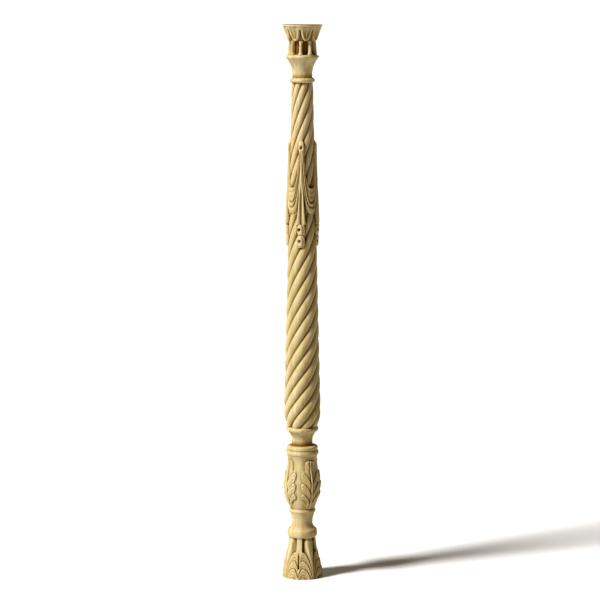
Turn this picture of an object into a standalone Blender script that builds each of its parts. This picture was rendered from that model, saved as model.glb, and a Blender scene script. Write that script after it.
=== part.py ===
"""Carved wooden baluster: one length of pale hardwood, turned on a lathe and then carved.

The turned blank is a stack of members: a flared foot, a torus, a neck, a vase, two beads, a second
neck, a long shaft, an astragal, a trumpet and a head. The carving is then cut into it: eight strands
twist up the shaft, four swags of cloth hang round it between four knotted tails, four acanthus
leaves climb the vase and four the foot, and eight petals hang under the rim of the head in front of
eight little posts.

Metres, +Z up, the origin at the centre of the underside. An angle is counted from the front (-Y)
round towards +X, and a turn is the angle of one copy of a repeated motif.
"""
from math import cos, pi, radians, sin, sqrt, tau

import bmesh
import bpy
import numpy as np

# Heights of the turned members, from the floor up
FOOT_HEIGHT = 0.0660
TORUS_HEIGHT = 0.0235
LOWER_NECK_HEIGHT = 0.0190
RING_HEIGHT = 0.0050
VASE_HEIGHT = 0.0905
BEAD_HEIGHT = 0.0070
SHOULDER_HEIGHT = 0.0085
UPPER_NECK_HEIGHT = 0.0225
LIP_HEIGHT = 0.0070
SHAFT_HEIGHT = 0.5590
ASTRAGAL_HEIGHT = 0.0076
TRUMPET_HEIGHT = 0.0339
HEAD_HEIGHT = 0.0505

# Radii of the turned members
FOOT_RADIUS = 0.0332
FOOT_THROAT_RADIUS = 0.0215
TORUS_RADIUS = 0.0243
LOWER_WAIST_RADIUS = 0.0166
RING_RADIUS = 0.0215
VASE_FOOT_RADIUS = 0.0196
VASE_BELLY_RADIUS = 0.0283
VASE_WAIST_RADIUS = 0.0231
BEAD_RADIUS = 0.0264
BEAD_GROOVE_RADIUS = 0.0242
SHOULDER_RADIUS = 0.0253
UPPER_WAIST_RADIUS = 0.0165
LIP_RADIUS = 0.0262
SHAFT_FOOT_RADIUS = 0.0250
SHAFT_BELLY_RADIUS = 0.0298
SHAFT_THROAT_RADIUS = 0.0182
SHAFT_TOP_RADIUS = 0.0168
ASTRAGAL_RADIUS = 0.0198
TRUMPET_WAIST_RADIUS = 0.0157
COLLAR_RADIUS = 0.0267
HEAD_RADIUS = 0.0232
RIM_RADIUS = 0.0320

# Small sizes and shares that place the widest and the narrowest stretches
TORUS_BEAD_SHARE = 0.60
RING_QUIRK = 0.0006
SHOULDER_UPRIGHT = 0.0040
SHOULDER_CORNER_RISE = 0.0030
SHOULDER_CORNER_DEPTH = 0.0022
UPPER_NECK_STRAIGHT = 0.0080
LIP_QUIRK_BELOW = 0.0014
LIP_QUIRK_ABOVE = 0.0006
VASE_BELLY_RISE = 0.0405
VASE_LIP_HEIGHT = 0.0115
SHAFT_BELLY_RISE = 0.0300
SHAFT_THROAT_DROP = 0.0480
TRUMPET_STRAIGHT = 0.0064
COLLAR_EDGE = 0.0010
COLLAR_SLOPE = 0.0028
BELL_HEIGHT = 0.0240
RIM_HEIGHT = 0.0026
RIM_OVERHANG = 0.0010

# The twist of the shaft: the lead is the height of one full turn of a strand
STRANDS = 8
LEAD_AT_TOP = 0.262
LEAD_AT_FOOT = 0.208
STRAND_TURN = radians(20.4)
GROOVE_AT_TOP = 0.0027
GROOVE_AT_FOOT = 0.0041
STRAND_ROUNDNESS = 0.78

# The drapery hangs below the top of the shaft; its drops are measured from there. A hanging curve
# is given by its lowest drop, its rise towards a tail and the power that bends it
SWAGS = 4
TAIL_TURN = radians(-4.5)
OPENING = (0.1674, 0.1880, 3.9)
MAIN_FOLD = (0.1890, 0.1390, 3.0)
HEM = (0.2087, 0.0524, 3.2)
SWAG_PROUD = 0.0033
FOLD_DEPTH = 0.0029
FOLD_ROUNDNESS = 1.3
FOLD_FADING_SLOPE = 16.0

# The section of the cloth from its opening (0) to its hem (1), as heights between a hollow (0) and
# the fullest crest (1)
FOLD_HANGS = (0.00, 0.05, 0.15, 0.26, 0.34, 0.43, 0.54, 0.64, 0.74, 0.84, 0.95, 1.00)
FOLD_HEIGHTS = (0.50, 0.70, 0.30, 0.60, 0.30, 0.65, 0.00, 1.00, 0.10, 0.75, 0.30, 0.15)

# Knots, tails and husks
KNOT_DROP = 0.0900
KNOT_LENGTH = 0.0220
KNOT_PROUD = 0.0041
KNOT_HALF_WIDTH = 0.0046
KNOT_MIDDLE_SHARE = 0.58
KNOT_ROLL = 0.0015
KNOT_EYE_HALF_WIDTH = 0.0018
KNOT_EYE_STRETCH = 1.7
KNOT_EYE_DEPTH = 0.0026
TAIL_LENGTH = 0.1138
TAIL_PROUD_AT_TOP = 0.0030
TAIL_PROUD_AT_FOOT = 0.0053
TAIL_HALF_WIDTH_AT_TOP = 0.0018
TAIL_HALF_WIDTH_AT_FOOT = 0.0070
TAIL_FLARE = 2.2
TAIL_PARTS_FROM = 0.38
TAIL_PARTED_BY = 0.62
TAIL_VALLEY_DEPTH = 0.0028
TAIL_CREST_SHARE = 0.64
TAIL_ROLL_DEPTH = 0.0016
HUSK_LENGTH = 0.0187
HUSK_HALF_WIDTH = 0.0062
HUSK_WAIST_SHARE = 0.78
HUSK_PROUD = 0.0037
HUSK_STEP = 0.0012
HUSK_ROLL = 0.0020
HUSK_EYE_RADIUS = 0.0021
HUSK_EYE_STRETCH = 1.25
HUSK_EYE_DEPTH = 0.0032
HUSK_EYE_OFFSET = 0.0030
HUSK_EYE_SHARE = 0.45
HUSK_NICK_DEPTH = 0.0012
HUSK_NICK_HALF_WIDTH = 0.0011
HUSK_NICK_SHARE = 0.93

# The four leaves of the vase, in heights above the vase's foot
LEAVES = 4
LEAF_TURN = radians(32.5)
VASE_LEAF_TIP = 0.0820
VASE_TIP_FOOT = 0.0655
VASE_LOBE_TOPS = (0.0645, 0.0465, 0.0290)
VASE_LEAF_FOOT = 0.0130
VASE_LOBE_FALL = 0.0260
VASE_LEAF_HALF_WIDTH = radians(36.0)
VASE_TIP_HALF_WIDTH = radians(20.0)
VASE_STALK_HALF_WIDTH = radians(15.0)
VASE_LEAF_PROUD = 0.0011
VASE_LEAF_CROWN = 0.0018
LOBE_NOTCH = radians(8.5)
TIP_ROUNDING = 0.0035

# The four leaves of the foot, in heights above the floor
FOOT_LOBE_TOPS = (0.0435, 0.0295, 0.0170)
FOOT_LOBES_BELOW = (0.0020, -0.0120)
FOOT_LOBE_FALL = 0.0380
FOOT_LEAF_HALF_WIDTH = radians(43.5)
FOOT_LOBE_DIP = 0.0130
FOOT_LOBE_PEAK = 0.70
FOOT_LEAF_CROWN = 0.0017
FOOT_CREST_SPREAD = radians(14.0)
FOOT_CRESTS_MEET = 0.0180
FOOT_VALLEY_DEPTH = 0.0039
FOOT_LOBE_STEP = 0.0023
FOOT_LOBE_SINK = 0.30
FOOT_PARTING_DEPTH = 0.0028
FOOT_PARTING_HALF_WIDTH = radians(4.5)
FOOT_PARTING_START = 0.0460
FOOT_PARTING_END = 0.0110
FOOT_PARTING_FADE = 0.0110
FOOT_BAND_HALF_WIDTH = radians(12.5)

# What every leaf shares: lobes that step down to one another, two veins a lobe, a midrib
LOBE_STEP = 0.0021
LOBE_RAISED_SHARE = 0.40
LOBE_FALL_SHARE = 0.85
VEIN_SHARES = (0.28, 0.62)
VEIN_HALF_WIDTH_SHARE = 0.14
VEIN_DEPTH_SHARE = 0.25
MIDRIB_HALF_WIDTH = 0.0024
MIDRIB_PROUD = 0.0006

# The carved head, in heights above its own foot
PETALS = 8
PETAL_TURN = radians(15.0)
PETAL_TIP = 0.0245
PETAL_ARCH_HEIGHT = 0.0140
PETAL_HALF_WIDTH = radians(20.5)
PETAL_GAP_DEPTH = 0.0045
PETAL_FURROW_DEPTH = 0.0023
PETAL_FURROWS = 0.95
WINDOW_SILL = 0.0030
WINDOW_RADIUS = 0.0152
POST_HALF_WIDTH = radians(6.8)
POST_FLARE = radians(4.5)
POST_SET_BACK = 0.0013
POST_ROLL = 0.0020

# Fineness of the carved surface and of the finished solid
SEGMENTS = 192
SEAM_REACH = 0.0001
MERGE_DISTANCE = 0.000001
RING_SPACING = 0.0013
SHAFT_RING_SPACING = 0.0026
TRIANGLES = 9700
EDGE_WIDTH = 0.0011

WOOD_COLOUR = (0.64, 0.47, 0.25, 1.0)
WOOD_ROUGHNESS = 0.7

SHAFT_FOOT = (FOOT_HEIGHT + TORUS_HEIGHT + LOWER_NECK_HEIGHT + RING_HEIGHT + VASE_HEIGHT
              + BEAD_HEIGHT + SHOULDER_HEIGHT + UPPER_NECK_HEIGHT + LIP_HEIGHT)
VASE_FOOT = FOOT_HEIGHT + TORUS_HEIGHT + LOWER_NECK_HEIGHT + RING_HEIGHT
SHAFT_TOP = SHAFT_FOOT + SHAFT_HEIGHT
HEAD_FOOT = SHAFT_TOP + ASTRAGAL_HEIGHT + TRUMPET_HEIGHT
TOTAL_HEIGHT = HEAD_FOOT + HEAD_HEIGHT


def smooth(value, start, end):
    """Rise from 0 at start to 1 at end, level at both ends."""
    share = np.clip((value - start) / (end - start), 0.0, 1.0)
    return share * share * (3.0 - 2.0 * share)


def within(distance, edge=EDGE_WIDTH):
    """Turn a signed distance, positive inside, into 0 outside and 1 inside over one edge width."""
    return smooth(distance, -0.5 * edge, 0.5 * edge)


def from_nearest(angle, copies, turn):
    """Signed angle from the nearest of the evenly spaced copies of a motif."""
    pitch = tau / copies
    return (angle - turn + 0.5 * pitch) % pitch - 0.5 * pitch


# The turned outline, as (radius, height) pairs that each member adds to
def line(outline, radius, height):
    outline.append((radius, height))


def sweep(outline, radius, rise, shape, spacing=RING_SPACING):
    """Continue to a new radius over a rise; shape turns the share of the rise into the share done."""
    start_radius, start_height = outline[-1]
    steps = max(2, round(rise / spacing))
    for step in range(1, steps + 1):
        share = step / steps
        outline.append((start_radius + (radius - start_radius) * shape(share),
                        start_height + rise * share))


def swell(outline, radius, end_radius, rise):
    """Continue with a bead whose half-ellipse section reaches a radius half-way up."""
    start_radius, start_height = outline[-1]
    steps = max(6, round(1.5 * rise / RING_SPACING))
    for step in range(1, steps + 1):
        turn = pi * step / steps
        share = 0.5 - 0.5 * cos(turn)
        chord = start_radius + (end_radius - start_radius) * share
        middle = 0.5 * (start_radius + end_radius)
        outline.append((chord + (radius - middle) * sin(turn), start_height + rise * share))


def leave_upright(share):
    return share * share


def arrive_upright(share):
    return 1.0 - (1.0 - share) ** 2


def ogee(share):
    return share * share * (3.0 - 2.0 * share)


def straight(share):
    return share


def round_over(share):
    return 1.0 - sqrt(max(0.0, 1.0 - share * share))


def turned_outline():
    """Outline of the blank from the rim of the underside to the rim of the top."""
    outline = [(FOOT_RADIUS, 0.0)]
    sweep(outline, FOOT_THROAT_RADIUS, FOOT_HEIGHT, ogee)

    bead_rise = TORUS_BEAD_SHARE * TORUS_HEIGHT
    swell(outline, TORUS_RADIUS, FOOT_THROAT_RADIUS, bead_rise)
    sweep(outline, LOWER_WAIST_RADIUS, TORUS_HEIGHT - bead_rise, arrive_upright)

    sweep(outline, RING_RADIUS - RING_QUIRK, LOWER_NECK_HEIGHT, leave_upright)
    swell(outline, RING_RADIUS, VASE_FOOT_RADIUS, RING_HEIGHT)

    waist_rise = VASE_HEIGHT - VASE_BELLY_RISE - VASE_LIP_HEIGHT
    sweep(outline, VASE_BELLY_RADIUS, VASE_BELLY_RISE, arrive_upright)
    sweep(outline, VASE_WAIST_RADIUS, waist_rise, ogee)
    sweep(outline, SHOULDER_RADIUS, VASE_LIP_HEIGHT, leave_upright)

    swell(outline, BEAD_RADIUS, BEAD_GROOVE_RADIUS, BEAD_HEIGHT)
    ledge_rise = SHOULDER_HEIGHT - SHOULDER_UPRIGHT - SHOULDER_CORNER_RISE
    sweep(outline, SHOULDER_RADIUS, SHOULDER_UPRIGHT, arrive_upright)
    sweep(outline, SHOULDER_RADIUS - SHOULDER_CORNER_DEPTH, SHOULDER_CORNER_RISE, round_over)
    sweep(outline, UPPER_WAIST_RADIUS, ledge_rise, straight)

    cove_rise = UPPER_NECK_HEIGHT - UPPER_NECK_STRAIGHT
    sweep(outline, UPPER_WAIST_RADIUS, UPPER_NECK_STRAIGHT, straight)
    sweep(outline, SHAFT_FOOT_RADIUS - LIP_QUIRK_BELOW, cove_rise, leave_upright)
    swell(outline, LIP_RADIUS, SHAFT_FOOT_RADIUS - LIP_QUIRK_ABOVE, LIP_HEIGHT)

    throat_rise = SHAFT_HEIGHT - SHAFT_BELLY_RISE - SHAFT_THROAT_DROP
    sweep(outline, SHAFT_BELLY_RADIUS, SHAFT_BELLY_RISE, arrive_upright)
    sweep(outline, SHAFT_THROAT_RADIUS, throat_rise, straight, SHAFT_RING_SPACING)
    sweep(outline, SHAFT_TOP_RADIUS, SHAFT_THROAT_DROP, leave_upright, SHAFT_RING_SPACING)

    swell(outline, ASTRAGAL_RADIUS, TRUMPET_WAIST_RADIUS, ASTRAGAL_HEIGHT)
    sweep(outline, TRUMPET_WAIST_RADIUS, TRUMPET_STRAIGHT, straight)
    trumpet_rise = TRUMPET_HEIGHT - TRUMPET_STRAIGHT - COLLAR_EDGE
    sweep(outline, COLLAR_RADIUS, trumpet_rise, leave_upright)
    line(outline, COLLAR_RADIUS, HEAD_FOOT)

    sweep(outline, HEAD_RADIUS, COLLAR_SLOPE, straight)
    post_rise = HEAD_HEIGHT - COLLAR_SLOPE - BELL_HEIGHT - RIM_HEIGHT
    sweep(outline, HEAD_RADIUS, post_rise, straight)
    sweep(outline, RIM_RADIUS - RIM_OVERHANG, BELL_HEIGHT, straight)
    line(outline, RIM_RADIUS, TOTAL_HEIGHT - RIM_HEIGHT)
    sweep(outline, RIM_RADIUS, RIM_HEIGHT, straight)
    return outline


def carve_strands(angle, height, radius):
    """Depth cut below the shaft's envelope, so that strands with V grooves are left."""
    drop = np.clip(SHAFT_TOP - height, 0.0, SHAFT_HEIGHT)
    slow = tau / LEAD_AT_TOP
    fast = tau / LEAD_AT_FOOT
    twist = slow * drop + (fast - slow) * drop ** 4 / (4.0 * SHAFT_HEIGHT ** 3)
    across = from_nearest(angle + twist, STRANDS, STRAND_TURN) * STRANDS / pi
    depth = GROOVE_AT_TOP + (GROOVE_AT_FOOT - GROOVE_AT_TOP) * drop / SHAFT_HEIGHT
    return radius - depth * (STRAND_ROUNDNESS * across ** 2 + (1.0 - STRAND_ROUNDNESS) * across ** 6)


def lay_over(surface, relief, presence):
    """Raise a surface to a relief that stands on it, as far as the relief is present."""
    return surface + np.maximum(relief - surface, 0.0) * presence


def hanging_curve(curve, reach, radius):
    """Drop of a hanging curve and how steep it is, where it has come so near a tail (0 to 1)."""
    drop, rise, power = curve
    slope = power * rise * reach ** (power - 1.0) * SWAGS / (pi * radius)
    return drop - rise * reach ** power, slope


def carve_cloth(drop, across, radius, surface):
    """Folds follow the opening, the main fold and the hem, and leave a U of strands bare."""
    reach = 1.0 - across * SWAGS / pi
    opening, opening_slope = hanging_curve(OPENING, reach, radius)
    main_fold, main_slope = hanging_curve(MAIN_FOLD, reach, radius)
    hem, hem_slope = hanging_curve(HEM, reach, radius)
    upper = np.clip((drop - opening) / (main_fold - opening), 0.0, 1.0)
    lower = np.clip((drop - main_fold) / (hem - main_fold), 0.0, 1.0)
    slope = opening_slope + (main_slope - opening_slope) * upper + (hem_slope - main_slope) * lower
    depth = FOLD_DEPTH / (1.0 + (slope / FOLD_FADING_SLOPE) ** 2)
    hollow = 1.0 - np.interp(0.5 * (upper + lower), FOLD_HANGS, FOLD_HEIGHTS)
    cloth = radius + SWAG_PROUD - depth * np.sign(hollow) * np.abs(hollow) ** FOLD_ROUNDNESS
    presence = np.minimum.reduce([within((drop - opening) / np.hypot(1.0, opening_slope)),
                                  within((hem - drop) / np.hypot(1.0, hem_slope)),
                                  within(drop - KNOT_DROP - 0.8 * KNOT_LENGTH)])
    return lay_over(surface, cloth, presence)


def carve_tail(drop, offset, radius, surface):
    """One narrow fold under the knot, which parts lower down into two rolls with a valley."""
    below = drop - KNOT_DROP - KNOT_LENGTH
    share = np.clip(below / TAIL_LENGTH, 0.0, 1.0)
    widening = TAIL_HALF_WIDTH_AT_FOOT - TAIL_HALF_WIDTH_AT_TOP
    half_width = TAIL_HALF_WIDTH_AT_TOP + widening * share ** TAIL_FLARE
    proud = TAIL_PROUD_AT_TOP + (TAIL_PROUD_AT_FOOT - TAIL_PROUD_AT_TOP) * share
    beside = np.abs(offset) / half_width
    one_fold = TAIL_ROLL_DEPTH * beside ** 2
    inner = TAIL_VALLEY_DEPTH * np.clip(1.0 - beside / TAIL_CREST_SHARE, 0.0, 1.0) ** 1.4
    outer = np.clip((beside - TAIL_CREST_SHARE) / (1.0 - TAIL_CREST_SHARE), 0.0, 1.0)
    two_rolls = inner + TAIL_ROLL_DEPTH * outer ** 2
    parted = smooth(share, TAIL_PARTS_FROM, TAIL_PARTED_BY)
    tail = radius + proud - one_fold - (two_rolls - one_fold) * parted
    presence = np.minimum.reduce([within(half_width - np.abs(offset)), within(below),
                                  within(TAIL_LENGTH - below)])
    return lay_over(surface, tail, presence)


def carve_knot(drop, offset, radius, surface):
    """A drop-shaped loop round a drilled eye, rising out of the strands to the head of the tail."""
    below = drop - KNOT_DROP - KNOT_MIDDLE_SHARE * KNOT_LENGTH
    reach = np.where(below < 0.0, KNOT_MIDDLE_SHARE, 1.0 - KNOT_MIDDLE_SHARE) * KNOT_LENGTH
    from_middle = np.hypot(offset / KNOT_HALF_WIDTH, below / reach)
    eye = np.hypot(offset, below / KNOT_EYE_STRETCH)
    rise = smooth(drop, KNOT_DROP - 0.2 * KNOT_LENGTH, KNOT_DROP + 0.5 * KNOT_LENGTH)
    knot = radius + KNOT_PROUD * rise - KNOT_ROLL * from_middle ** 2
    knot = knot - KNOT_EYE_DEPTH * within(KNOT_EYE_HALF_WIDTH - eye, KNOT_EYE_HALF_WIDTH)
    return lay_over(surface, knot, within((1.0 - from_middle) * KNOT_HALF_WIDTH))


def carve_husk(drop, offset, top, proud, radius, surface):
    """A small bud, fuller in its middle, with a drilled eye at one side and a nick at its foot."""
    below = drop - top
    share = np.clip(below / HUSK_LENGTH, 0.0, 1.0)
    fullness = HUSK_WAIST_SHARE + (1.0 - HUSK_WAIST_SHARE) * np.sin(pi * share)
    half_width = HUSK_HALF_WIDTH * fullness
    from_eye = (below - HUSK_EYE_SHARE * HUSK_LENGTH) / HUSK_EYE_STRETCH
    eye = np.hypot(offset + HUSK_EYE_OFFSET, from_eye)
    nick = np.abs(below - HUSK_NICK_SHARE * HUSK_LENGTH)
    husk = radius + proud - HUSK_STEP * share - HUSK_ROLL * (offset / half_width) ** 2
    husk = husk - HUSK_EYE_DEPTH * within(HUSK_EYE_RADIUS - eye, 0.5 * HUSK_EYE_RADIUS)
    husk = husk - HUSK_NICK_DEPTH * within(HUSK_NICK_HALF_WIDTH - nick)
    presence = np.minimum.reduce([within(half_width - np.abs(offset)), within(below),
                                  within(HUSK_LENGTH - below)])
    return lay_over(surface, husk, presence)


def carve_drapery(angle, height, radius, surface):
    """Swags, tails, knots and husks stand proud of the strands, whose carved surface they lie on."""
    drop = SHAFT_TOP - height
    side = from_nearest(angle, SWAGS, TAIL_TURN)
    offset = side * radius
    surface = carve_cloth(drop, np.abs(side), radius, surface)
    surface = carve_tail(drop, offset, radius, surface)
    surface = carve_knot(drop, offset, radius, surface)
    husk_top = KNOT_DROP + KNOT_LENGTH + TAIL_LENGTH
    surface = carve_husk(drop, offset, husk_top, HUSK_PROUD + HUSK_STEP, radius, surface)
    return carve_husk(drop, offset, husk_top + HUSK_LENGTH, HUSK_PROUD, radius, surface)


def feathered(level, slope, tops):
    """Relief of overlapping lobes, high along each top edge and low where the next one begins.

    The level falls with the height, and slope says how fast it changes sideways, so that the step
    between two lobes is equally wide wherever it runs."""
    relief = np.zeros_like(level)
    for top, foot in zip(tops[:-1], tops[1:]):
        share = np.clip((top - level) / (top - foot), 0.0, 1.0)
        lobe = 1.0 - LOBE_FALL_SHARE * share ** 2
        for place in VEIN_SHARES:
            vein = smooth(1.0 - np.abs(share - place) / VEIN_HALF_WIDTH_SHARE, 0.0, 1.0)
            lobe = lobe - VEIN_DEPTH_SHARE * vein / np.hypot(1.0, 0.5 * slope)
        relief = relief + (lobe - relief) * within((top - level) / np.hypot(1.0, slope))
    return relief + LOBE_RAISED_SHARE - 1.0


def lobed_edge(rise, tops, notch):
    """How far a leaf's edge is drawn in: little at the head of each lobe, a notch at its foot."""
    drawn_in = np.zeros_like(rise)
    for top, foot in zip(tops[:-1], tops[1:]):
        share = np.clip((top - rise) / (top - foot), 0.0, 1.0)
        rounding = share ** 3 + 0.6 * (1.0 - np.minimum(share / 0.15, 1.0)) ** 2
        drawn_in = np.where((rise <= top) & (rise > foot), notch * rounding, drawn_in)
    return drawn_in


def carve_vase_leaves(angle, height, radius):
    """Four acanthus leaves with side lobes that overlap downwards from a broad tip."""
    rise = height - VASE_FOOT
    across = np.abs(from_nearest(angle, LEAVES, LEAF_TURN))
    side = np.clip(across / VASE_LEAF_HALF_WIDTH, 0.0, 1.0)
    tops = VASE_LOBE_TOPS + (VASE_LEAF_FOOT,)

    level = rise + VASE_LOBE_FALL * (1.0 - side) ** 2.2 + TIP_ROUNDING * smooth(side, 0.8, 1.0)
    slope = 2.2 * VASE_LOBE_FALL * (1.0 - side) ** 1.2 / (VASE_LEAF_HALF_WIDTH * radius)
    half_width = VASE_LEAF_HALF_WIDTH - lobed_edge(rise, tops, LOBE_NOTCH)
    closing = smooth(rise, VASE_LEAF_FOOT - 0.001, VASE_LEAF_FOOT + 0.008)
    half_width = VASE_STALK_HALF_WIDTH + (half_width - VASE_STALK_HALF_WIDTH) * closing
    half_width = np.where(rise > VASE_TIP_FOOT, VASE_TIP_HALF_WIDTH, half_width)
    tip = VASE_LEAF_TIP - TIP_ROUNDING * (across / VASE_TIP_HALF_WIDTH) ** 3

    crown = VASE_LEAF_CROWN * smooth(rise, 0.0, 0.030) * (1.0 - 0.35 * smooth(rise, 0.050, 0.080))
    body = VASE_LEAF_PROUD + crown * (1.0 - side ** 2)
    lobes = LOBE_STEP * feathered(level, slope, (VASE_LEAF_TIP + VASE_LOBE_FALL,) + tops)
    on_rib = within(MIDRIB_HALF_WIDTH - across * radius)
    leaf = body + lobes + (MIDRIB_PROUD - lobes) * on_rib
    presence = np.minimum(within((half_width - across) * radius), within(tip - rise))
    return radius + leaf * presence * smooth(rise, 0.0005, 0.004)


def carve_foot_leaves(angle, height, radius):
    """Four leaves that slope from a pair of crests down to a band; side lobes end at the cut."""
    across = np.abs(from_nearest(angle, LEAVES, LEAF_TURN))
    half_pitch = pi / LEAVES
    tucked_in = 1.0 - smooth(height, FOOT_HEIGHT - 0.007, FOOT_HEIGHT)

    crest = FOOT_CREST_SPREAD * smooth(height, FOOT_CRESTS_MEET, FOOT_HEIGHT)
    slope = np.clip((across - crest) / (half_pitch - FOOT_BAND_HALF_WIDTH - crest), 0.0, 1.0)
    crown = FOOT_LEAF_CROWN * (0.4 + 0.6 * smooth(height, 0.0, 0.030)) * tucked_in
    body = radius + crown - (crown + FOOT_VALLEY_DEPTH) * (1.0 - (1.0 - slope) ** 2)
    on_band = within((across - half_pitch + FOOT_BAND_HALF_WIDTH) * radius)
    ground = body + (radius - body) * on_band

    side = np.clip(across / FOOT_LEAF_HALF_WIDTH, 0.0, 1.0)
    inner = np.clip(FOOT_LOBE_PEAK - side, 0.0, 1.0) / FOOT_LOBE_PEAK
    outer = np.clip(side - FOOT_LOBE_PEAK, 0.0, 1.0) / (1.0 - FOOT_LOBE_PEAK)
    level = height + FOOT_LOBE_FALL * inner ** 2.6 + FOOT_LOBE_DIP * outer ** 2
    tilt = 2.6 * FOOT_LOBE_FALL * inner ** 1.6 / (FOOT_LOBE_PEAK * FOOT_LEAF_HALF_WIDTH * radius)
    relief = feathered(level, tilt, FOOT_LOBE_TOPS + FOOT_LOBES_BELOW) - FOOT_LOBE_SINK
    lobes = radius + 0.6 * crown * (1.0 - side) + FOOT_LOBE_STEP * relief
    lobed = within((FOOT_LOBE_TOPS[0] - level) / np.hypot(1.0, tilt))
    parting = smooth(1.0 - (half_pitch - across) / FOOT_PARTING_HALF_WIDTH, 0.0, 1.0)
    parting = parting * smooth(height, FOOT_PARTING_END, FOOT_PARTING_END + FOOT_PARTING_FADE)
    parting = parting * smooth(FOOT_PARTING_START - height, 0.0, FOOT_PARTING_FADE)
    return ground + (lobes - ground) * lobed - FOOT_PARTING_DEPTH * parting


def carve_head(angle, height, radius):
    """Petals hang from the rim; below them dark windows are cut between eight posts."""
    rise = height - HEAD_FOOT
    across = np.abs(from_nearest(angle, PETALS, PETAL_TURN))
    half_pitch = pi / PETALS
    from_post = half_pitch - across

    flare = POST_FLARE * (1.0 - smooth(rise, WINDOW_SILL, WINDOW_SILL + 0.006)
                          + smooth(rise, PETAL_TIP - 0.006, PETAL_TIP + 0.002))
    post_half_width = POST_HALF_WIDTH + flare
    post = radius - POST_SET_BACK * smooth(rise, WINDOW_SILL, PETAL_TIP)
    post = post - POST_ROLL * np.clip(from_post / post_half_width, 0.0, 1.0) ** 2
    window = np.where(rise > WINDOW_SILL, WINDOW_RADIUS, radius)
    on_post = within((post_half_width - from_post) * HEAD_RADIUS)
    lower = window + (post - window) * on_post

    up = np.clip((rise - PETAL_TIP) / PETAL_ARCH_HEIGHT, 0.0, 1.0)
    petal_half_width = PETAL_HALF_WIDTH * np.sqrt(1.0 - (1.0 - up) ** 2)
    furrow = 0.5 + 0.5 * np.cos(2.0 * pi * PETAL_FURROWS * across / PETAL_HALF_WIDTH)
    petal = radius - PETAL_FURROW_DEPTH * furrow * (1.0 - 0.7 * smooth(rise, 0.038, 0.0470))
    gap = radius - PETAL_GAP_DEPTH * (1.0 - smooth(rise, 0.038, 0.0455))
    behind = np.where(rise > PETAL_TIP, np.minimum(gap, lower + 0.010 * smooth(rise, PETAL_TIP, 0.034)),
                      lower)
    on_petal = within((petal_half_width - across) * radius) * within(rise - PETAL_TIP)
    carved = behind + (petal - behind) * on_petal
    rim = smooth(rise, HEAD_HEIGHT - RIM_HEIGHT - 0.001, HEAD_HEIGHT - RIM_HEIGHT)
    return carved + (radius - carved) * rim


def carve(mesh):
    """Move every point of the blank in or out, along its own radius, to the carved surface."""
    points = np.empty(3 * len(mesh.vertices))
    mesh.vertices.foreach_get("co", points)
    points = points.reshape(-1, 3)
    height = points[:, 2]
    blank = np.hypot(points[:, 0], points[:, 1])
    angle = np.arctan2(points[:, 0], -points[:, 1])

    carved = blank.copy()
    for foot, top, cut in ((0.0, FOOT_HEIGHT, carve_foot_leaves),
                           (VASE_FOOT, VASE_FOOT + VASE_HEIGHT, carve_vase_leaves),
                           (SHAFT_FOOT, SHAFT_TOP, carve_strands),
                           (HEAD_FOOT + COLLAR_SLOPE, TOTAL_HEIGHT, carve_head)):
        here = (height >= foot) & (height <= top)
        carved[here] = cut(angle[here], height[here], blank[here])
    shaft = (height > SHAFT_FOOT) & (height < SHAFT_TOP)
    carved[shaft] = carve_drapery(angle[shaft], height[shaft], blank[shaft], carved[shaft])

    points[:, 0] = carved * np.sin(angle)
    points[:, 1] = -carved * np.cos(angle)
    mesh.vertices.foreach_set("co", points.ravel())
    mesh.update()


def turn_blank():
    """Wrap a grid round the axis, a row for each point of the outline, and close both ends flat.

    A spin gives the same surface, but numbers its faces differently each time it runs."""
    outline = turned_outline()
    work = bmesh.new()
    bmesh.ops.create_grid(work, x_segments=SEGMENTS, y_segments=len(outline) - 1, size=0.5)
    seam = []
    for vertex in work.verts:
        turn = tau * (vertex.co.x + 0.5)
        if abs(vertex.co.x) > 0.5 - SEAM_REACH:
            seam.append(vertex)
        radius, height = outline[round((vertex.co.y + 0.5) * (len(outline) - 1))]
        vertex.co = (radius * sin(turn), -radius * cos(turn), height)
    bmesh.ops.remove_doubles(work, verts=seam, dist=MERGE_DISTANCE)
    rims = [edge for edge in work.edges if edge.is_boundary]
    bmesh.ops.holes_fill(work, edges=rims, sides=0)
    bmesh.ops.recalc_face_normals(work, faces=work.faces)
    mesh = bpy.data.meshes.new("carved_baluster")
    work.to_mesh(mesh)
    work.free()
    return mesh


def wood():
    material = bpy.data.materials.new("pale_hardwood")
    material.use_nodes = True
    shader = material.node_tree.nodes["Principled BSDF"]
    shader.inputs["Base Color"].default_value = WOOD_COLOUR
    shader.inputs["Roughness"].default_value = WOOD_ROUGHNESS
    shader.inputs["Metallic"].default_value = 0.0
    return material


def make_baluster():
    mesh = turn_blank()
    carve(mesh)
    mesh.shade_smooth()
    mesh.set_sharp_from_angle(angle=radians(50.0))
    mesh.materials.append(wood())
    baluster = bpy.data.objects.new("carved_baluster", mesh)
    bpy.context.scene.collection.objects.link(baluster)

    # The two flat ends keep their rims; everything between them may be drawn with larger facets
    between = baluster.vertex_groups.new(name="between_the_ends")
    inner = [vertex.index for vertex in mesh.vertices if 1e-6 < vertex.co.z < TOTAL_HEIGHT - 1e-6]
    between.add(inner, 1.0, "REPLACE")
    mesh.calc_loop_triangles()
    facets = baluster.modifiers.new("Facets", "DECIMATE")
    facets.decimate_type = "COLLAPSE"
    facets.ratio = TRIANGLES / len(mesh.loop_triangles)
    facets.vertex_group = between.name
    facets.use_collapse_triangulate = True
    return baluster


for old in list(bpy.data.objects):
    bpy.data.objects.remove(old, do_unlink=True)
make_baluster()
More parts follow.
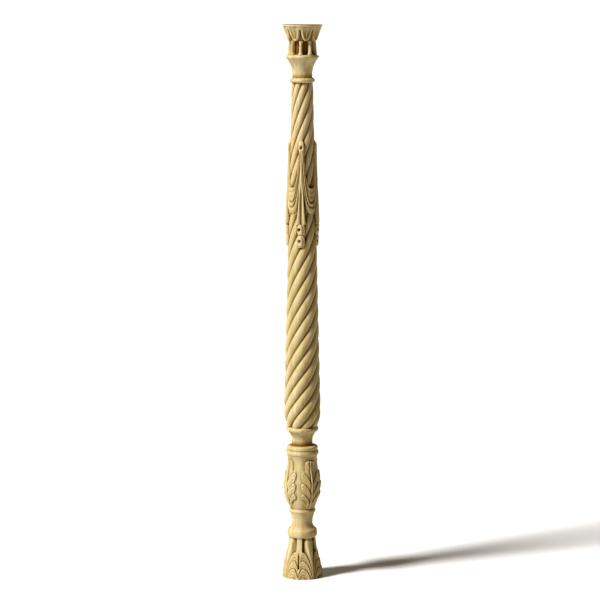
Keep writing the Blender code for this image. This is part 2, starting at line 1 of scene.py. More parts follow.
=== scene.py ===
# %% [markdown]
# Carved wooden baluster
#
# The object is one length of pale, unpolished hardwood, cut off flat at both ends. A turner first
# makes a round blank with a stack of members. A carver then cuts leaves, twisted strands, hanging
# cloth and petals into it. This lesson follows the same order: it makes the turned blank,
# moves every point of the blank in or out to the carved depth, and finishes it as bare wood.

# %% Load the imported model
from math import atan, cos, pi, radians, sin, sqrt, tau

import bmesh
import bpy
import numpy as np
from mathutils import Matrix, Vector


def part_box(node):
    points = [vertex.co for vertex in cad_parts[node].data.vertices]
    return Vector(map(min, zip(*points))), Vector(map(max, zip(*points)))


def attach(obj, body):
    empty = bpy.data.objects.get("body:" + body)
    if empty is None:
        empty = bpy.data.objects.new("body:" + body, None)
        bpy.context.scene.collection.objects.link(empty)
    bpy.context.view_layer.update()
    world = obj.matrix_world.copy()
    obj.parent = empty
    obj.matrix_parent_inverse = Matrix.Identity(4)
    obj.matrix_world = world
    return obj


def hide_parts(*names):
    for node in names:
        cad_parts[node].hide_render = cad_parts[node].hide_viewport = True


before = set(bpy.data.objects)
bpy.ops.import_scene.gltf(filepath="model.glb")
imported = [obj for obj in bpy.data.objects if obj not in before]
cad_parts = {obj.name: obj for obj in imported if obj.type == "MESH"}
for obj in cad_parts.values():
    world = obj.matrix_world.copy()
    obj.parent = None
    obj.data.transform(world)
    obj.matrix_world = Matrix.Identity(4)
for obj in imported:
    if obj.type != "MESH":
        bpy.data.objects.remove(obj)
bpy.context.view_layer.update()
low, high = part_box("carved_baluster")
TOTAL_HEIGHT = high.z - low.z
print("nodes in the packed model:", len(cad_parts))
print("packed solid:", [round(1000 * (b - a), 1) for a, b in zip(low, high)], "mm")

# %% [markdown]
# The members of the turning
#
# From the floor up: a flared foot, a torus, a neck, a small ring, a vase, a bead, a rounded shoulder,
# a second neck, a lip, the long shaft, an astragal, a trumpet and the head. Each has its own height,
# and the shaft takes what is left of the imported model's height, so that the stack always fits it.

# %% Heights of the members
FOOT_HEIGHT = 0.0660
TORUS_HEIGHT = 0.0235
LOWER_NECK_HEIGHT = 0.0190
RING_HEIGHT = 0.0050
VASE_HEIGHT = 0.0905
BEAD_HEIGHT = 0.0070
SHOULDER_HEIGHT = 0.0085
UPPER_NECK_HEIGHT = 0.0225
LIP_HEIGHT = 0.0070
ASTRAGAL_HEIGHT = 0.0076
TRUMPET_HEIGHT = 0.0339
HEAD_HEIGHT = 0.0505

VASE_FOOT = FOOT_HEIGHT + TORUS_HEIGHT + LOWER_NECK_HEIGHT + RING_HEIGHT
VASE_TOP = VASE_FOOT + VASE_HEIGHT
SHAFT_FOOT = VASE_TOP + BEAD_HEIGHT + SHOULDER_HEIGHT + UPPER_NECK_HEIGHT + LIP_HEIGHT
HEAD_FOOT = TOTAL_HEIGHT - HEAD_HEIGHT
SHAFT_TOP = HEAD_FOOT - TRUMPET_HEIGHT - ASTRAGAL_HEIGHT
SHAFT_HEIGHT = SHAFT_TOP - SHAFT_FOOT
print("shaft from", round(SHAFT_FOOT, 4), "to", round(SHAFT_TOP, 4), "m")

# %% Radii of the members
FOOT_RADIUS = 0.0332
FOOT_THROAT_RADIUS = 0.0215
TORUS_RADIUS = 0.0243
LOWER_WAIST_RADIUS = 0.0166
RING_RADIUS = 0.0215
VASE_FOOT_RADIUS = 0.0196
VASE_BELLY_RADIUS = 0.0283
VASE_WAIST_RADIUS = 0.0231
BEAD_RADIUS = 0.0264
BEAD_GROOVE_RADIUS = 0.0242
SHOULDER_RADIUS = 0.0253
UPPER_WAIST_RADIUS = 0.0165
LIP_RADIUS = 0.0262
SHAFT_FOOT_RADIUS = 0.0250
SHAFT_BELLY_RADIUS = 0.0298
SHAFT_THROAT_RADIUS = 0.0182
SHAFT_TOP_RADIUS = 0.0168
ASTRAGAL_RADIUS = 0.0198
TRUMPET_WAIST_RADIUS = 0.0157
COLLAR_RADIUS = 0.0267
HEAD_RADIUS = 0.0232
RIM_RADIUS = 0.0320
print("widest member:", round(2000 * FOOT_RADIUS, 1), "mm across")

# %% [markdown]
# How a member's outline is drawn
#
# A turner thinks of each member as a curve between two radii: a straight taper, a cove that leaves
# or meets its neighbour upright, an ogee with both, or a bead that swells out and comes back. A list
# of points for the whole outline would hide that, so each kind of curve is a small function, and the
# outline grows member by member from the floor to the top.

# %% Kinds of curve
CURVE_STEP = 0.0006
BEAD_ARC_OVER_RISE = 1.5
FEWEST_BEAD_STEPS = 8


def sweep(outline, radius, rise, shape):
    """Continue to a radius over a rise; shape turns the share of the rise into the share done."""
    start_radius, start_height = outline[-1]
    steps = max(2, round(rise / CURVE_STEP))
    for step in range(1, steps + 1):
        share = step / steps
        outline.append((start_radius + (radius - start_radius) * shape(share),
                        start_height + rise * share))


def swell(outline, radius, end_radius, rise):
    """Continue with a bead whose half-ellipse section reaches a radius half-way up."""
    start_radius, start_height = outline[-1]
    steps = max(FEWEST_BEAD_STEPS, round(BEAD_ARC_OVER_RISE * rise / CURVE_STEP))
    middle = 0.5 * (start_radius + end_radius)
    for step in range(1, steps + 1):
        turn = pi * step / steps
        share = 0.5 - 0.5 * cos(turn)
        chord = start_radius + (end_radius - start_radius) * share
        outline.append((chord + (radius - middle) * sin(turn), start_height + rise * share))


def straight(share):
    return share


def leave_upright(share):
    return share * share


def arrive_upright(share):
    return 1.0 - (1.0 - share) ** 2


def ogee(share):
    return share * share * (3.0 - 2.0 * share)


def round_over(share):
    return 1.0 - sqrt(max(0.0, 1.0 - share * share))


# %% [markdown]
# The outline of the blank
#
# Small steps and quirks between the members are what make turning look crisp: a bead that stands on
# a narrower shoulder, the sharp edge of the collar, the thin rim that oversails the head. They are
# given as their own small sizes here.

# %% Draw the outline
outline = [(FOOT_RADIUS, 0.0)]
sweep(outline, FOOT_THROAT_RADIUS, FOOT_HEIGHT, ogee)

TORUS_BEAD_SHARE = 0.60
swell(outline, TORUS_RADIUS, FOOT_THROAT_RADIUS, TORUS_BEAD_SHARE * TORUS_HEIGHT)
sweep(outline, LOWER_WAIST_RADIUS, (1.0 - TORUS_BEAD_SHARE) * TORUS_HEIGHT, arrive_upright)

RING_QUIRK = 0.0006
sweep(outline, RING_RADIUS - RING_QUIRK, LOWER_NECK_HEIGHT, leave_upright)
swell(outline, RING_RADIUS, VASE_FOOT_RADIUS, RING_HEIGHT)

VASE_BELLY_RISE = 0.0405
VASE_LIP_HEIGHT = 0.0115
sweep(outline, VASE_BELLY_RADIUS, VASE_BELLY_RISE, arrive_upright)
sweep(outline, VASE_WAIST_RADIUS, VASE_HEIGHT - VASE_BELLY_RISE - VASE_LIP_HEIGHT, ogee)
sweep(outline, SHOULDER_RADIUS, VASE_LIP_HEIGHT, leave_upright)

SHOULDER_UPRIGHT = 0.0040
SHOULDER_CORNER_RISE = 0.0030
SHOULDER_CORNER_DEPTH = 0.0022
swell(outline, BEAD_RADIUS, BEAD_GROOVE_RADIUS, BEAD_HEIGHT)
sweep(outline, SHOULDER_RADIUS, SHOULDER_UPRIGHT, arrive_upright)
sweep(outline, SHOULDER_RADIUS - SHOULDER_CORNER_DEPTH, SHOULDER_CORNER_RISE, round_over)
ledge_rise = SHOULDER_HEIGHT - SHOULDER_UPRIGHT - SHOULDER_CORNER_RISE
sweep(outline, UPPER_WAIST_RADIUS, ledge_rise, straight)

LIP_QUIRK_BELOW = 0.0014
LIP_QUIRK_ABOVE = 0.0006
UPPER_NECK_STRAIGHT = 0.0080
cove_rise = UPPER_NECK_HEIGHT - UPPER_NECK_STRAIGHT
sweep(outline, UPPER_WAIST_RADIUS, UPPER_NECK_STRAIGHT, straight)
sweep(outline, SHAFT_FOOT_RADIUS - LIP_QUIRK_BELOW, cove_rise, leave_upright)
swell(outline, LIP_RADIUS, SHAFT_FOOT_RADIUS - LIP_QUIRK_ABOVE, LIP_HEIGHT)

SHAFT_BELLY_RISE = 0.0300
SHAFT_THROAT_DROP = 0.0480
sweep(outline, SHAFT_BELLY_RADIUS, SHAFT_BELLY_RISE, arrive_upright)
sweep(outline, SHAFT_THROAT_RADIUS, SHAFT_HEIGHT - SHAFT_BELLY_RISE - SHAFT_THROAT_DROP, straight)
sweep(outline, SHAFT_TOP_RADIUS, SHAFT_THROAT_DROP, leave_upright)

TRUMPET_STRAIGHT = 0.0064
COLLAR_EDGE = 0.0010
swell(outline, ASTRAGAL_RADIUS, TRUMPET_WAIST_RADIUS, ASTRAGAL_HEIGHT)
sweep(outline, TRUMPET_WAIST_RADIUS, TRUMPET_STRAIGHT, straight)
sweep(outline, COLLAR_RADIUS, TRUMPET_HEIGHT - TRUMPET_STRAIGHT - COLLAR_EDGE, leave_upright)
outline.append((COLLAR_RADIUS, HEAD_FOOT))

COLLAR_SLOPE = 0.0028
BELL_HEIGHT = 0.0240
RIM_HEIGHT = 0.0026
RIM_OVERHANG = 0.0010
sweep(outline, HEAD_RADIUS, COLLAR_SLOPE, straight)
sweep(outline, HEAD_RADIUS, HEAD_HEIGHT - COLLAR_SLOPE - BELL_HEIGHT - RIM_HEIGHT, straight)
sweep(outline, RIM_RADIUS - RIM_OVERHANG, BELL_HEIGHT, straight)
outline.append((RIM_RADIUS, TOTAL_HEIGHT - RIM_HEIGHT))
sweep(outline, RIM_RADIUS, RIM_HEIGHT, straight)

turned_radii = np.array([radius for radius, height in outline])
turned_heights = np.array([height for radius, height in outline])
print(len(outline), "points in the outline, up to", round(outline[-1][1], 4), "m")

# %% [markdown]
# Helpers for the carver
#
# Every cut below is worked out from the same few questions. How far along a slope is this point?
# Is it inside an edge or outside it, with a slope as narrow as a gouge leaves? How far is it from
# the nearest copy of a motif that repeats round the axis? Does a raised motif stand above what is
# there, and how deep is a V cut here? Angles run from the front, which is -Y, round towards +X.

# %% Helpers for the carving
CUT_EDGE = 0.0007


def smooth(value, start, end):
    """Rise from 0 at start to 1 at end, level at both ends."""
    share = np.clip((value - start) / (end - start), 0.0, 1.0)
    return share * share * (3.0 - 2.0 * share)


def within(distance, edge=CUT_EDGE):
    """Turn a signed distance, positive inside, into 0 outside and 1 inside over one cut edge."""
    return smooth(distance, -0.5 * edge, 0.5 * edge)


def from_nearest(angle, copies, turn):
    """Signed angle from the nearest of the evenly spaced copies of a motif."""
    pitch = tau / copies
    return (angle - turn + 0.5 * pitch) % pitch - 0.5 * pitch


def lay_over(surface, relief, presence):
    """Raise a surface to a relief that stands on it, as far as the relief is present."""
    return surface + np.maximum(relief - surface, 0.0) * presence


def groove(distance, half_width):
    """1 along a V cut's bottom and 0 beyond its half-width."""
    return np.clip(1.0 - np.abs(distance) / half_width, 0.0, 1.0)


# %% [markdown]
# The twisted shaft
#
# Eight plump strands wind up the shaft to the right, with a V cut between each pair. On the real
# piece the twist tightens a little towards the foot, where the shaft is thicker. Eight separate
# twisted bars would need a core and would never merge as cleanly as wood does, so the strands are a
# depth below the blank: nothing on a crest, most in the cut, and a round section between. A high
# power of the distance from the crest adds the sharp V to the round section.

# %% Cut the strands
STRANDS = 8
LEAD_AT_TOP = 0.262
LEAD_AT_FOOT = 0.208
STRAND_TURN = radians(20.4)
GROOVE_AT_TOP = 0.0028
GROOVE_AT_FOOT = 0.0042
TIGHTENING = 3
STRAND_ROUNDNESS = 0.78
V_CUT_POWER = 7


def cut_strands(angle, height, radius):
    """Radius on the strands; the twist adds up from the top, faster the further it comes down."""
    drop = np.clip(SHAFT_TOP - height, 0.0, SHAFT_HEIGHT)
    slow = tau / LEAD_AT_TOP
    fast = tau / LEAD_AT_FOOT
    tightened = drop ** (TIGHTENING + 1) / ((TIGHTENING + 1) * SHAFT_HEIGHT ** TIGHTENING)
    twist = slow * drop + (fast - slow) * tightened
    across = from_nearest(angle + twist, STRANDS, STRAND_TURN) * STRANDS / pi
    depth = GROOVE_AT_TOP + (GROOVE_AT_FOOT - GROOVE_AT_TOP) * drop / SHAFT_HEIGHT
    v_cut = (1.0 - STRAND_ROUNDNESS) * np.abs(across) ** V_CUT_POWER
    return radius - depth * (STRAND_ROUNDNESS * across ** 2 + v_cut)


# %% [markdown]
# The hanging cloth
#
# Under the head of the shaft four swags of cloth hang between four knots. Each knot lets a tail of
# cloth fall straight down, and below each tail sit two small husks with a drilled eye. All of it is
# carved from the same wood and stands only a few millimetres above the strands. The edge of the
# opening, the main fold and the hem are three hanging curves, and the other folds lie between them,
# so that they crowd together beside the tail as gathered cloth does. Cloth simulation could drape a
# sheet here, but carved cloth is stiffer and more regular, so the folds are drawn by formula. Each
# curve below has its drop from the top of the shaft, how far it rises to the tails, and its power.

# %% Sizes of the cloth
SWAGS = 4
TAIL_TURN = radians(-4.5)
OPENING = (0.1674, 0.1880, 3.9)
MAIN_FOLD = (0.1890, 0.1390, 3.0)
HEM = (0.2087, 0.0524, 3.2)
CLOTH_EDGE = 0.0012
SWAG_PROUD = 0.0034
FOLD_DEPTH = 0.0031
FOLD_HANGS = (0.00, 0.05, 0.15, 0.26, 0.34, 0.43, 0.54, 0.64, 0.74, 0.84, 0.95, 1.00)
FOLD_HEIGHTS = (0.50, 0.70, 0.30, 0.60, 0.30, 0.65, 0.00, 1.00, 0.10, 0.75, 0.30, 0.15)
FOLD_ROUNDNESS = 1.4
FOLD_FADING_SLOPE = 28.0

KNOT_DROP = 0.0900
KNOT_LENGTH = 0.0220
TAIL_LENGTH = 0.1138
CLOTH_LEAVES_KNOT_AT = 0.8
print("the cloth hangs from", round(SHAFT_TOP - KNOT_DROP, 3), "down to",
      round(SHAFT_TOP - HEM[0], 3), "m")


# %% Carve the swags
def hanging_curve(curve, reach, radius):
    """Drop of a hanging curve and its steepness, where it has come so near a tail (0 to 1)."""
    drop, rise, power = curve
    slope = power * rise * reach ** (power - 1.0) * SWAGS / (pi * radius)
    return drop - rise * reach ** power, slope


def carve_cloth(drop, across, radius, surface):
    """Folds that lie between the opening and the hem; a U of strands stays bare above them."""
    reach = 1.0 - across * SWAGS / pi
    opening, opening_slope = hanging_curve(OPENING, reach, radius)
    main_fold, main_slope = hanging_curve(MAIN_FOLD, reach, radius)
    hem, hem_slope = hanging_curve(HEM, reach, radius)
    upper = np.clip((drop - opening) / (main_fold - opening), 0.0, 1.0)
    lower = np.clip((drop - main_fold) / (hem - main_fold), 0.0, 1.0)
    slope = opening_slope + (main_slope - opening_slope) * upper + (hem_slope - main_slope) * lower
    depth = FOLD_DEPTH / (1.0 + (slope / FOLD_FADING_SLOPE) ** 2)
    hollow = 1.0 - np.interp(0.5 * (upper + lower), FOLD_HANGS, FOLD_HEIGHTS)
    cloth = radius + SWAG_PROUD - depth * hollow ** FOLD_ROUNDNESS
    from_opening = (drop - opening) / np.hypot(1.0, opening_slope)
    from_hem = (hem - drop) / np.hypot(1.0, hem_slope)
    presence = np.minimum.reduce([within(from_opening, CLOTH_EDGE), within(from_hem, CLOTH_EDGE),
                                  within(drop - KNOT_DROP - CLOTH_LEAVES_KNOT_AT * KNOT_LENGTH)])
    return lay_over(surface, cloth, presence)


# %% Carve the tails
TAIL_PROUD_AT_TOP = 0.0030
TAIL_PROUD_AT_FOOT = 0.0054
TAIL_HALF_WIDTH_AT_TOP = 0.0017
TAIL_HALF_WIDTH_AT_FOOT = 0.0071
TAIL_FLARE = 2.2
TAIL_PARTS_FROM = 0.38
TAIL_PARTED_BY = 0.62
TAIL_VALLEY_DEPTH = 0.0030
TAIL_VALLEY_ROUNDNESS = 1.4
TAIL_CREST_SHARE = 0.66
TAIL_ROLL_DEPTH = 0.0018


def carve_tail(drop, offset, radius, surface):
    """One narrow fold under the knot, which parts lower down into two rolls with a valley."""
    below = drop - KNOT_DROP - KNOT_LENGTH
    share = np.clip(below / TAIL_LENGTH, 0.0, 1.0)
    flare = share ** TAIL_FLARE
    half_width = TAIL_HALF_WIDTH_AT_TOP + (TAIL_HALF_WIDTH_AT_FOOT - TAIL_HALF_WIDTH_AT_TOP) * flare
    proud = TAIL_PROUD_AT_TOP + (TAIL_PROUD_AT_FOOT - TAIL_PROUD_AT_TOP) * share
    beside = np.abs(offset) / half_width
    one_fold = TAIL_ROLL_DEPTH * beside ** 2
    inner = np.clip(1.0 - beside / TAIL_CREST_SHARE, 0.0, 1.0) ** TAIL_VALLEY_ROUNDNESS
    outer = np.clip((beside - TAIL_CREST_SHARE) / (1.0 - TAIL_CREST_SHARE), 0.0, 1.0)
    two_rolls = TAIL_VALLEY_DEPTH * inner + TAIL_ROLL_DEPTH * outer ** 2
    parted = smooth(share, TAIL_PARTS_FROM, TAIL_PARTED_BY)
    tail = radius + proud - one_fold - (two_rolls - one_fold) * parted
    presence = np.minimum.reduce([within(half_width - np.abs(offset)), within(below),
                                  within(TAIL_LENGTH - below)])
    return lay_over(surface, tail, presence)


# %% Carve the knots
KNOT_PROUD = 0.0042
KNOT_HALF_WIDTH = 0.0046
KNOT_MIDDLE_SHARE = 0.58
KNOT_ROLL = 0.0016
KNOT_RISES_ABOVE = 0.2
KNOT_FULL_AT = 0.5
KNOT_EYE_HALF_WIDTH = 0.0018
KNOT_EYE_STRETCH = 1.7
KNOT_EYE_DEPTH = 0.0028


def carve_knot(drop, offset, radius, surface):
    """A drop-shaped loop round a drilled eye; it rises out of the strands and leads to the tail."""
    below = drop - KNOT_DROP - KNOT_MIDDLE_SHARE * KNOT_LENGTH
    reach = np.where(below < 0.0, KNOT_MIDDLE_SHARE, 1.0 - KNOT_MIDDLE_SHARE) * KNOT_LENGTH
    from_middle = np.hypot(offset / KNOT_HALF_WIDTH, below / reach)
    eye = np.hypot(offset, below / KNOT_EYE_STRETCH)
    rise = smooth(drop, KNOT_DROP - KNOT_RISES_ABOVE * KNOT_LENGTH,
                  KNOT_DROP + KNOT_FULL_AT * KNOT_LENGTH)
    knot = radius + KNOT_PROUD * rise - KNOT_ROLL * from_middle ** 2
    knot = knot - KNOT_EYE_DEPTH * within(KNOT_EYE_HALF_WIDTH - eye, KNOT_EYE_HALF_WIDTH)
    return lay_over(surface, knot, within((1.0 - from_middle) * KNOT_HALF_WIDTH))


# %% Carve the husks
HUSK_LENGTH = 0.0187
HUSK_HALF_WIDTH = 0.0063
HUSK_WAIST_SHARE = 0.76
HUSK_PROUD = 0.0038
HUSK_STEP = 0.0012
HUSK_ROLL = 0.0022
HUSK_EYE_RADIUS = 0.0022
HUSK_EYE_STRETCH = 1.25
HUSK_EYE_DEPTH = 0.0036
HUSK_EYE_OFFSET = 0.0030
HUSK_EYE_SHARE = 0.45
HUSK_NICK_DEPTH = 0.0018
HUSK_NICK_SHARE = 0.94
HUSK_NICK_HALF_WIDTH = 0.0018
HUSK_VEIN_DEPTH = 0.0010
HUSK_VEIN_HALF_WIDTH = 0.0011
HUSK_VEIN_OFFSET = 0.0012
HUSK_VEIN_CURL = 0.0018
HUSK_VEIN_END = 0.9
HUSK_VEIN_FADE = 0.2


def carve_husk(drop, offset, top, proud, radius, surface):
    """A small bud, fuller in its middle, with a drilled eye at one side and a nick at its foot."""
    below = drop - top
    share = np.clip(below / HUSK_LENGTH, 0.0, 1.0)
    fullness = HUSK_WAIST_SHARE + (1.0 - HUSK_WAIST_SHARE) * np.sin(pi * share)
    half_width = HUSK_HALF_WIDTH * fullness
    from_eye = (below - HUSK_EYE_SHARE * HUSK_LENGTH) / HUSK_EYE_STRETCH
    eye = np.hypot(offset + HUSK_EYE_OFFSET, from_eye)
    husk = radius + proud - HUSK_STEP * share - HUSK_ROLL * (offset / half_width) ** 2
    husk = husk - HUSK_EYE_DEPTH * within(HUSK_EYE_RADIUS - eye, 0.5 * HUSK_EYE_RADIUS)
    nick = groove(below - HUSK_NICK_SHARE * HUSK_LENGTH, HUSK_NICK_HALF_WIDTH)
    husk = husk - HUSK_NICK_DEPTH * nick
    curl = HUSK_VEIN_OFFSET + HUSK_VEIN_CURL * np.sin(pi * share)
    vein = groove(offset - curl, HUSK_VEIN_HALF_WIDTH) * within(HUSK_VEIN_END - share, HUSK_VEIN_FADE)
    husk = husk - HUSK_VEIN_DEPTH * vein
    presence = np.minimum.reduce([within(half_width - np.abs(offset)), within(below),
                                  within(HUSK_LENGTH - below)])
    return lay_over(surface, husk, presence)


# %% Hang the cloth over the strands
def carve_shaft(angle, height, radius):
    """The strands, and over them the cloth, the tails, the knots and the husks, in that order."""
    surface = cut_strands(angle, height, radius)
    drop = SHAFT_TOP - height
    side = from_nearest(angle, SWAGS, TAIL_TURN)
    offset = side * radius
    surface = carve_cloth(drop, np.abs(side), radius, surface)
    surface = carve_tail(drop, offset, radius, surface)
    surface = carve_knot(drop, offset, radius, surface)
    husk_top = KNOT_DROP + KNOT_LENGTH + TAIL_LENGTH
    surface = carve_husk(drop, offset, husk_top, HUSK_PROUD + HUSK_STEP, radius, surface)
    return carve_husk(drop, offset, husk_top + HUSK_LENGTH, HUSK_PROUD, radius, surface)


# %% [markdown]
# Acanthus lobes
#
# An acanthus leaf is a midrib with rounded side lobes that overlap like roof tiles. Both the vase
# and the foot have four. Separate leaf meshes would have to be bent round the blank and would float
# or poke through somewhere, so the lobes are a relief: a "level" is constant along the arch of a
# lobe's top edge, and between two edges the surface falls away, with a few veins cut in it.

# %% Relief of overlapping lobes
LOBE_STEP = 0.0022
LOBE_RAISED_SHARE = 0.40
LOBE_FALL_SHARE = 0.90
VEIN_SHARES = (0.28, 0.62)
VEIN_HALF_WIDTH_SHARE = 0.13
VEIN_DEPTH_SHARE = 0.26
VEIN_FADING = 0.4
LOBE_HEAD_SHARE = 0.15
LOBE_HEAD_NOTCH = 0.6


def feathered(level, slope, tops):
    """Overlapping lobes, high along each top edge and low where the next one begins.

    The level falls with the height, and slope says how fast it changes sideways, so that the step
    between two lobes is equally wide wherever it runs."""
    relief = np.zeros_like(level)
    for top, foot in zip(tops[:-1], tops[1:]):
        share = np.clip((top - level) / (top - foot), 0.0, 1.0)
        lobe = 1.0 - LOBE_FALL_SHARE * share ** 2
        for place in VEIN_SHARES:
            vein = smooth(groove(share - place, VEIN_HALF_WIDTH_SHARE), 0.0, 1.0)
            lobe = lobe - VEIN_DEPTH_SHARE * vein / np.hypot(1.0, VEIN_FADING * slope)
        relief = relief + (lobe - relief) * within((top - level) / np.hypot(1.0, slope))
    return relief + LOBE_RAISED_SHARE - 1.0


def lobed_edge(rise, tops, notch):
    """How far a leaf's edge is drawn in: little at the head of each lobe, a notch at its foot."""
    drawn_in = np.zeros_like(rise)
    for top, foot in zip(tops[:-1], tops[1:]):
        share = np.clip((top - rise) / (top - foot), 0.0, 1.0)
        head = 1.0 - np.minimum(share / LOBE_HEAD_SHARE, 1.0)
        rounding = share ** 3 + LOBE_HEAD_NOTCH * head ** 2
        drawn_in = np.where((rise <= top) & (rise > foot), notch * rounding, drawn_in)
    return drawn_in


# %% [markdown]
# Leaves on the vase
#
# Four leaves climb the vase from its foot. Each has a broad, nearly square tip and three side lobes,
# and plain ground shows between two leaves. The leaf's body is crowned, so the vase looks fuller in
# the middle of a leaf than between two.

# %% Sizes of the vase's leaves
LEAVES = 4
LEAF_TURN = radians(32.5)
VASE_LEAF_TIP = 0.0820
VASE_TIP_FOOT = 0.0655
VASE_LOBE_TOPS = (0.0645, 0.0465, 0.0290)
VASE_LEAF_FOOT = 0.0130
VASE_LOBE_FALL = 0.0260
VASE_LOBE_BEND = 2.2
VASE_LOBE_END = 0.8
VASE_LEAF_HALF_WIDTH = radians(36.0)
VASE_TIP_HALF_WIDTH = radians(20.0)
VASE_STALK_HALF_WIDTH = radians(15.0)
VASE_STALK_BELOW = 0.0010
VASE_STALK_ABOVE = 0.0080
VASE_LEAF_START = (0.0005, 0.004)
LOBE_NOTCH = radians(8.5)
TIP_ROUNDING = 0.0035

VASE_LEAF_PROUD = 0.0011
VASE_LEAF_CROWN = 0.0018
VASE_CROWN_FULL_AT = 0.030
VASE_CROWN_EASES = (0.050, 0.080)
VASE_CROWN_EASED_BY = 0.35
MIDRIB_HALF_WIDTH = 0.0022
MIDRIB_PROUD = 0.0010
MIDRIB_THINS_FROM = 0.020
MIDRIB_THINS_BY = 0.5
MIDRIB_CUT_DEPTH = 0.0012
MIDRIB_CUT_OFFSET = 0.0006
MIDRIB_CUT_HALF_WIDTH = 0.0011
print(LEAVES, "leaves on the vase, with their tips at", round(VASE_FOOT + VASE_LEAF_TIP, 3), "m")


# %% Carve the vase
def carve_vase(angle, height, radius):
    rise = height - VASE_FOOT
    across = np.abs(from_nearest(angle, LEAVES, LEAF_TURN))
    side = np.clip(across / VASE_LEAF_HALF_WIDTH, 0.0, 1.0)
    tops = VASE_LOBE_TOPS + (VASE_LEAF_FOOT,)

    level = rise + VASE_LOBE_FALL * (1.0 - side) ** VASE_LOBE_BEND
    level = level + TIP_ROUNDING * smooth(side, VASE_LOBE_END, 1.0)
    slope = VASE_LOBE_BEND * VASE_LOBE_FALL * (1.0 - side) ** (VASE_LOBE_BEND - 1.0)
    slope = slope / (VASE_LEAF_HALF_WIDTH * radius)
    half_width = VASE_LEAF_HALF_WIDTH - lobed_edge(rise, tops, LOBE_NOTCH)
    closing = smooth(rise, VASE_LEAF_FOOT - VASE_STALK_BELOW, VASE_LEAF_FOOT + VASE_STALK_ABOVE)
    half_width = VASE_STALK_HALF_WIDTH + (half_width - VASE_STALK_HALF_WIDTH) * closing
    half_width = np.where(rise > VASE_TIP_FOOT, VASE_TIP_HALF_WIDTH, half_width)
    tip = VASE_LEAF_TIP - TIP_ROUNDING * (across / VASE_TIP_HALF_WIDTH) ** 3

    eased = 1.0 - VASE_CROWN_EASED_BY * smooth(rise, *VASE_CROWN_EASES)
    crown = VASE_LEAF_CROWN * smooth(rise, 0.0, VASE_CROWN_FULL_AT) * eased
    body = VASE_LEAF_PROUD + crown * (1.0 - side ** 2)
    lobes = LOBE_STEP * feathered(level, slope, (VASE_LEAF_TIP + VASE_LOBE_FALL,) + tops)
    offset = across * radius
    thinned = 1.0 - MIDRIB_THINS_BY * smooth(rise, MIDRIB_THINS_FROM, VASE_LEAF_TIP)
    rib_half_width = MIDRIB_HALF_WIDTH * thinned
    rib = MIDRIB_PROUD * (1.0 - np.clip(offset / rib_half_width, 0.0, 1.0) ** 2)
    beside_rib = groove(offset - rib_half_width - MIDRIB_CUT_OFFSET, MIDRIB_CUT_HALF_WIDTH)
    on_rib = within(rib_half_width - offset)
    leaf = body + lobes + (rib - lobes) * on_rib - MIDRIB_CUT_DEPTH * beside_rib
    presence = np.minimum(within((half_width - across) * radius), within(tip - rise))
    return radius + leaf * presence * smooth(rise, *VASE_LEAF_START)


# %% [markdown]
# Leaves on the foot
#
# The foot spreads to the floor under four more leaves. Between two of them a plain band runs down
# from the torus, with a valley on either side, until the topmost side lobes meet over it. The lobes
# below are cut off by the flat underside, as if the leaf went on.

# %% Sizes of the foot's leaves
FOOT_LOBE_TOPS = (0.0435, 0.0295, 0.0170)
FOOT_LOBES_BELOW = (0.0020, -0.0120)
FOOT_LOBE_FALL = 0.0380
FOOT_LOBE_BEND = 2.6
FOOT_LOBE_DIP = 0.0130
FOOT_LOBE_PEAK = 0.70
FOOT_LOBE_SINK = 0.30
FOOT_LEAF_HALF_WIDTH = radians(43.5)
FOOT_LEAF_CROWN = 0.0017
FOOT_CROWN_AT_FLOOR = 0.4
FOOT_CROWN_FULL_AT = 0.030
FOOT_CROWN_TUCKS_IN = 0.007
FOOT_CROWN_UNDER_LOBES = 0.6
FOOT_CREST_SPREAD = radians(14.0)
FOOT_CRESTS_MEET = 0.0180
FOOT_VALLEY_DEPTH = 0.0040
FOOT_LOBE_STEP = 0.0025
FOOT_PARTING_DEPTH = 0.0030
FOOT_PARTING_HALF_WIDTH = radians(4.5)
FOOT_PARTING_START = 0.0460
FOOT_PARTING_END = 0.0110
FOOT_PARTING_FADE = 0.0110
FOOT_BAND_HALF_WIDTH = radians(12.5)
print(LEAVES, "leaves on the foot, with", len(FOOT_LOBE_TOPS), "whole lobes on a side")


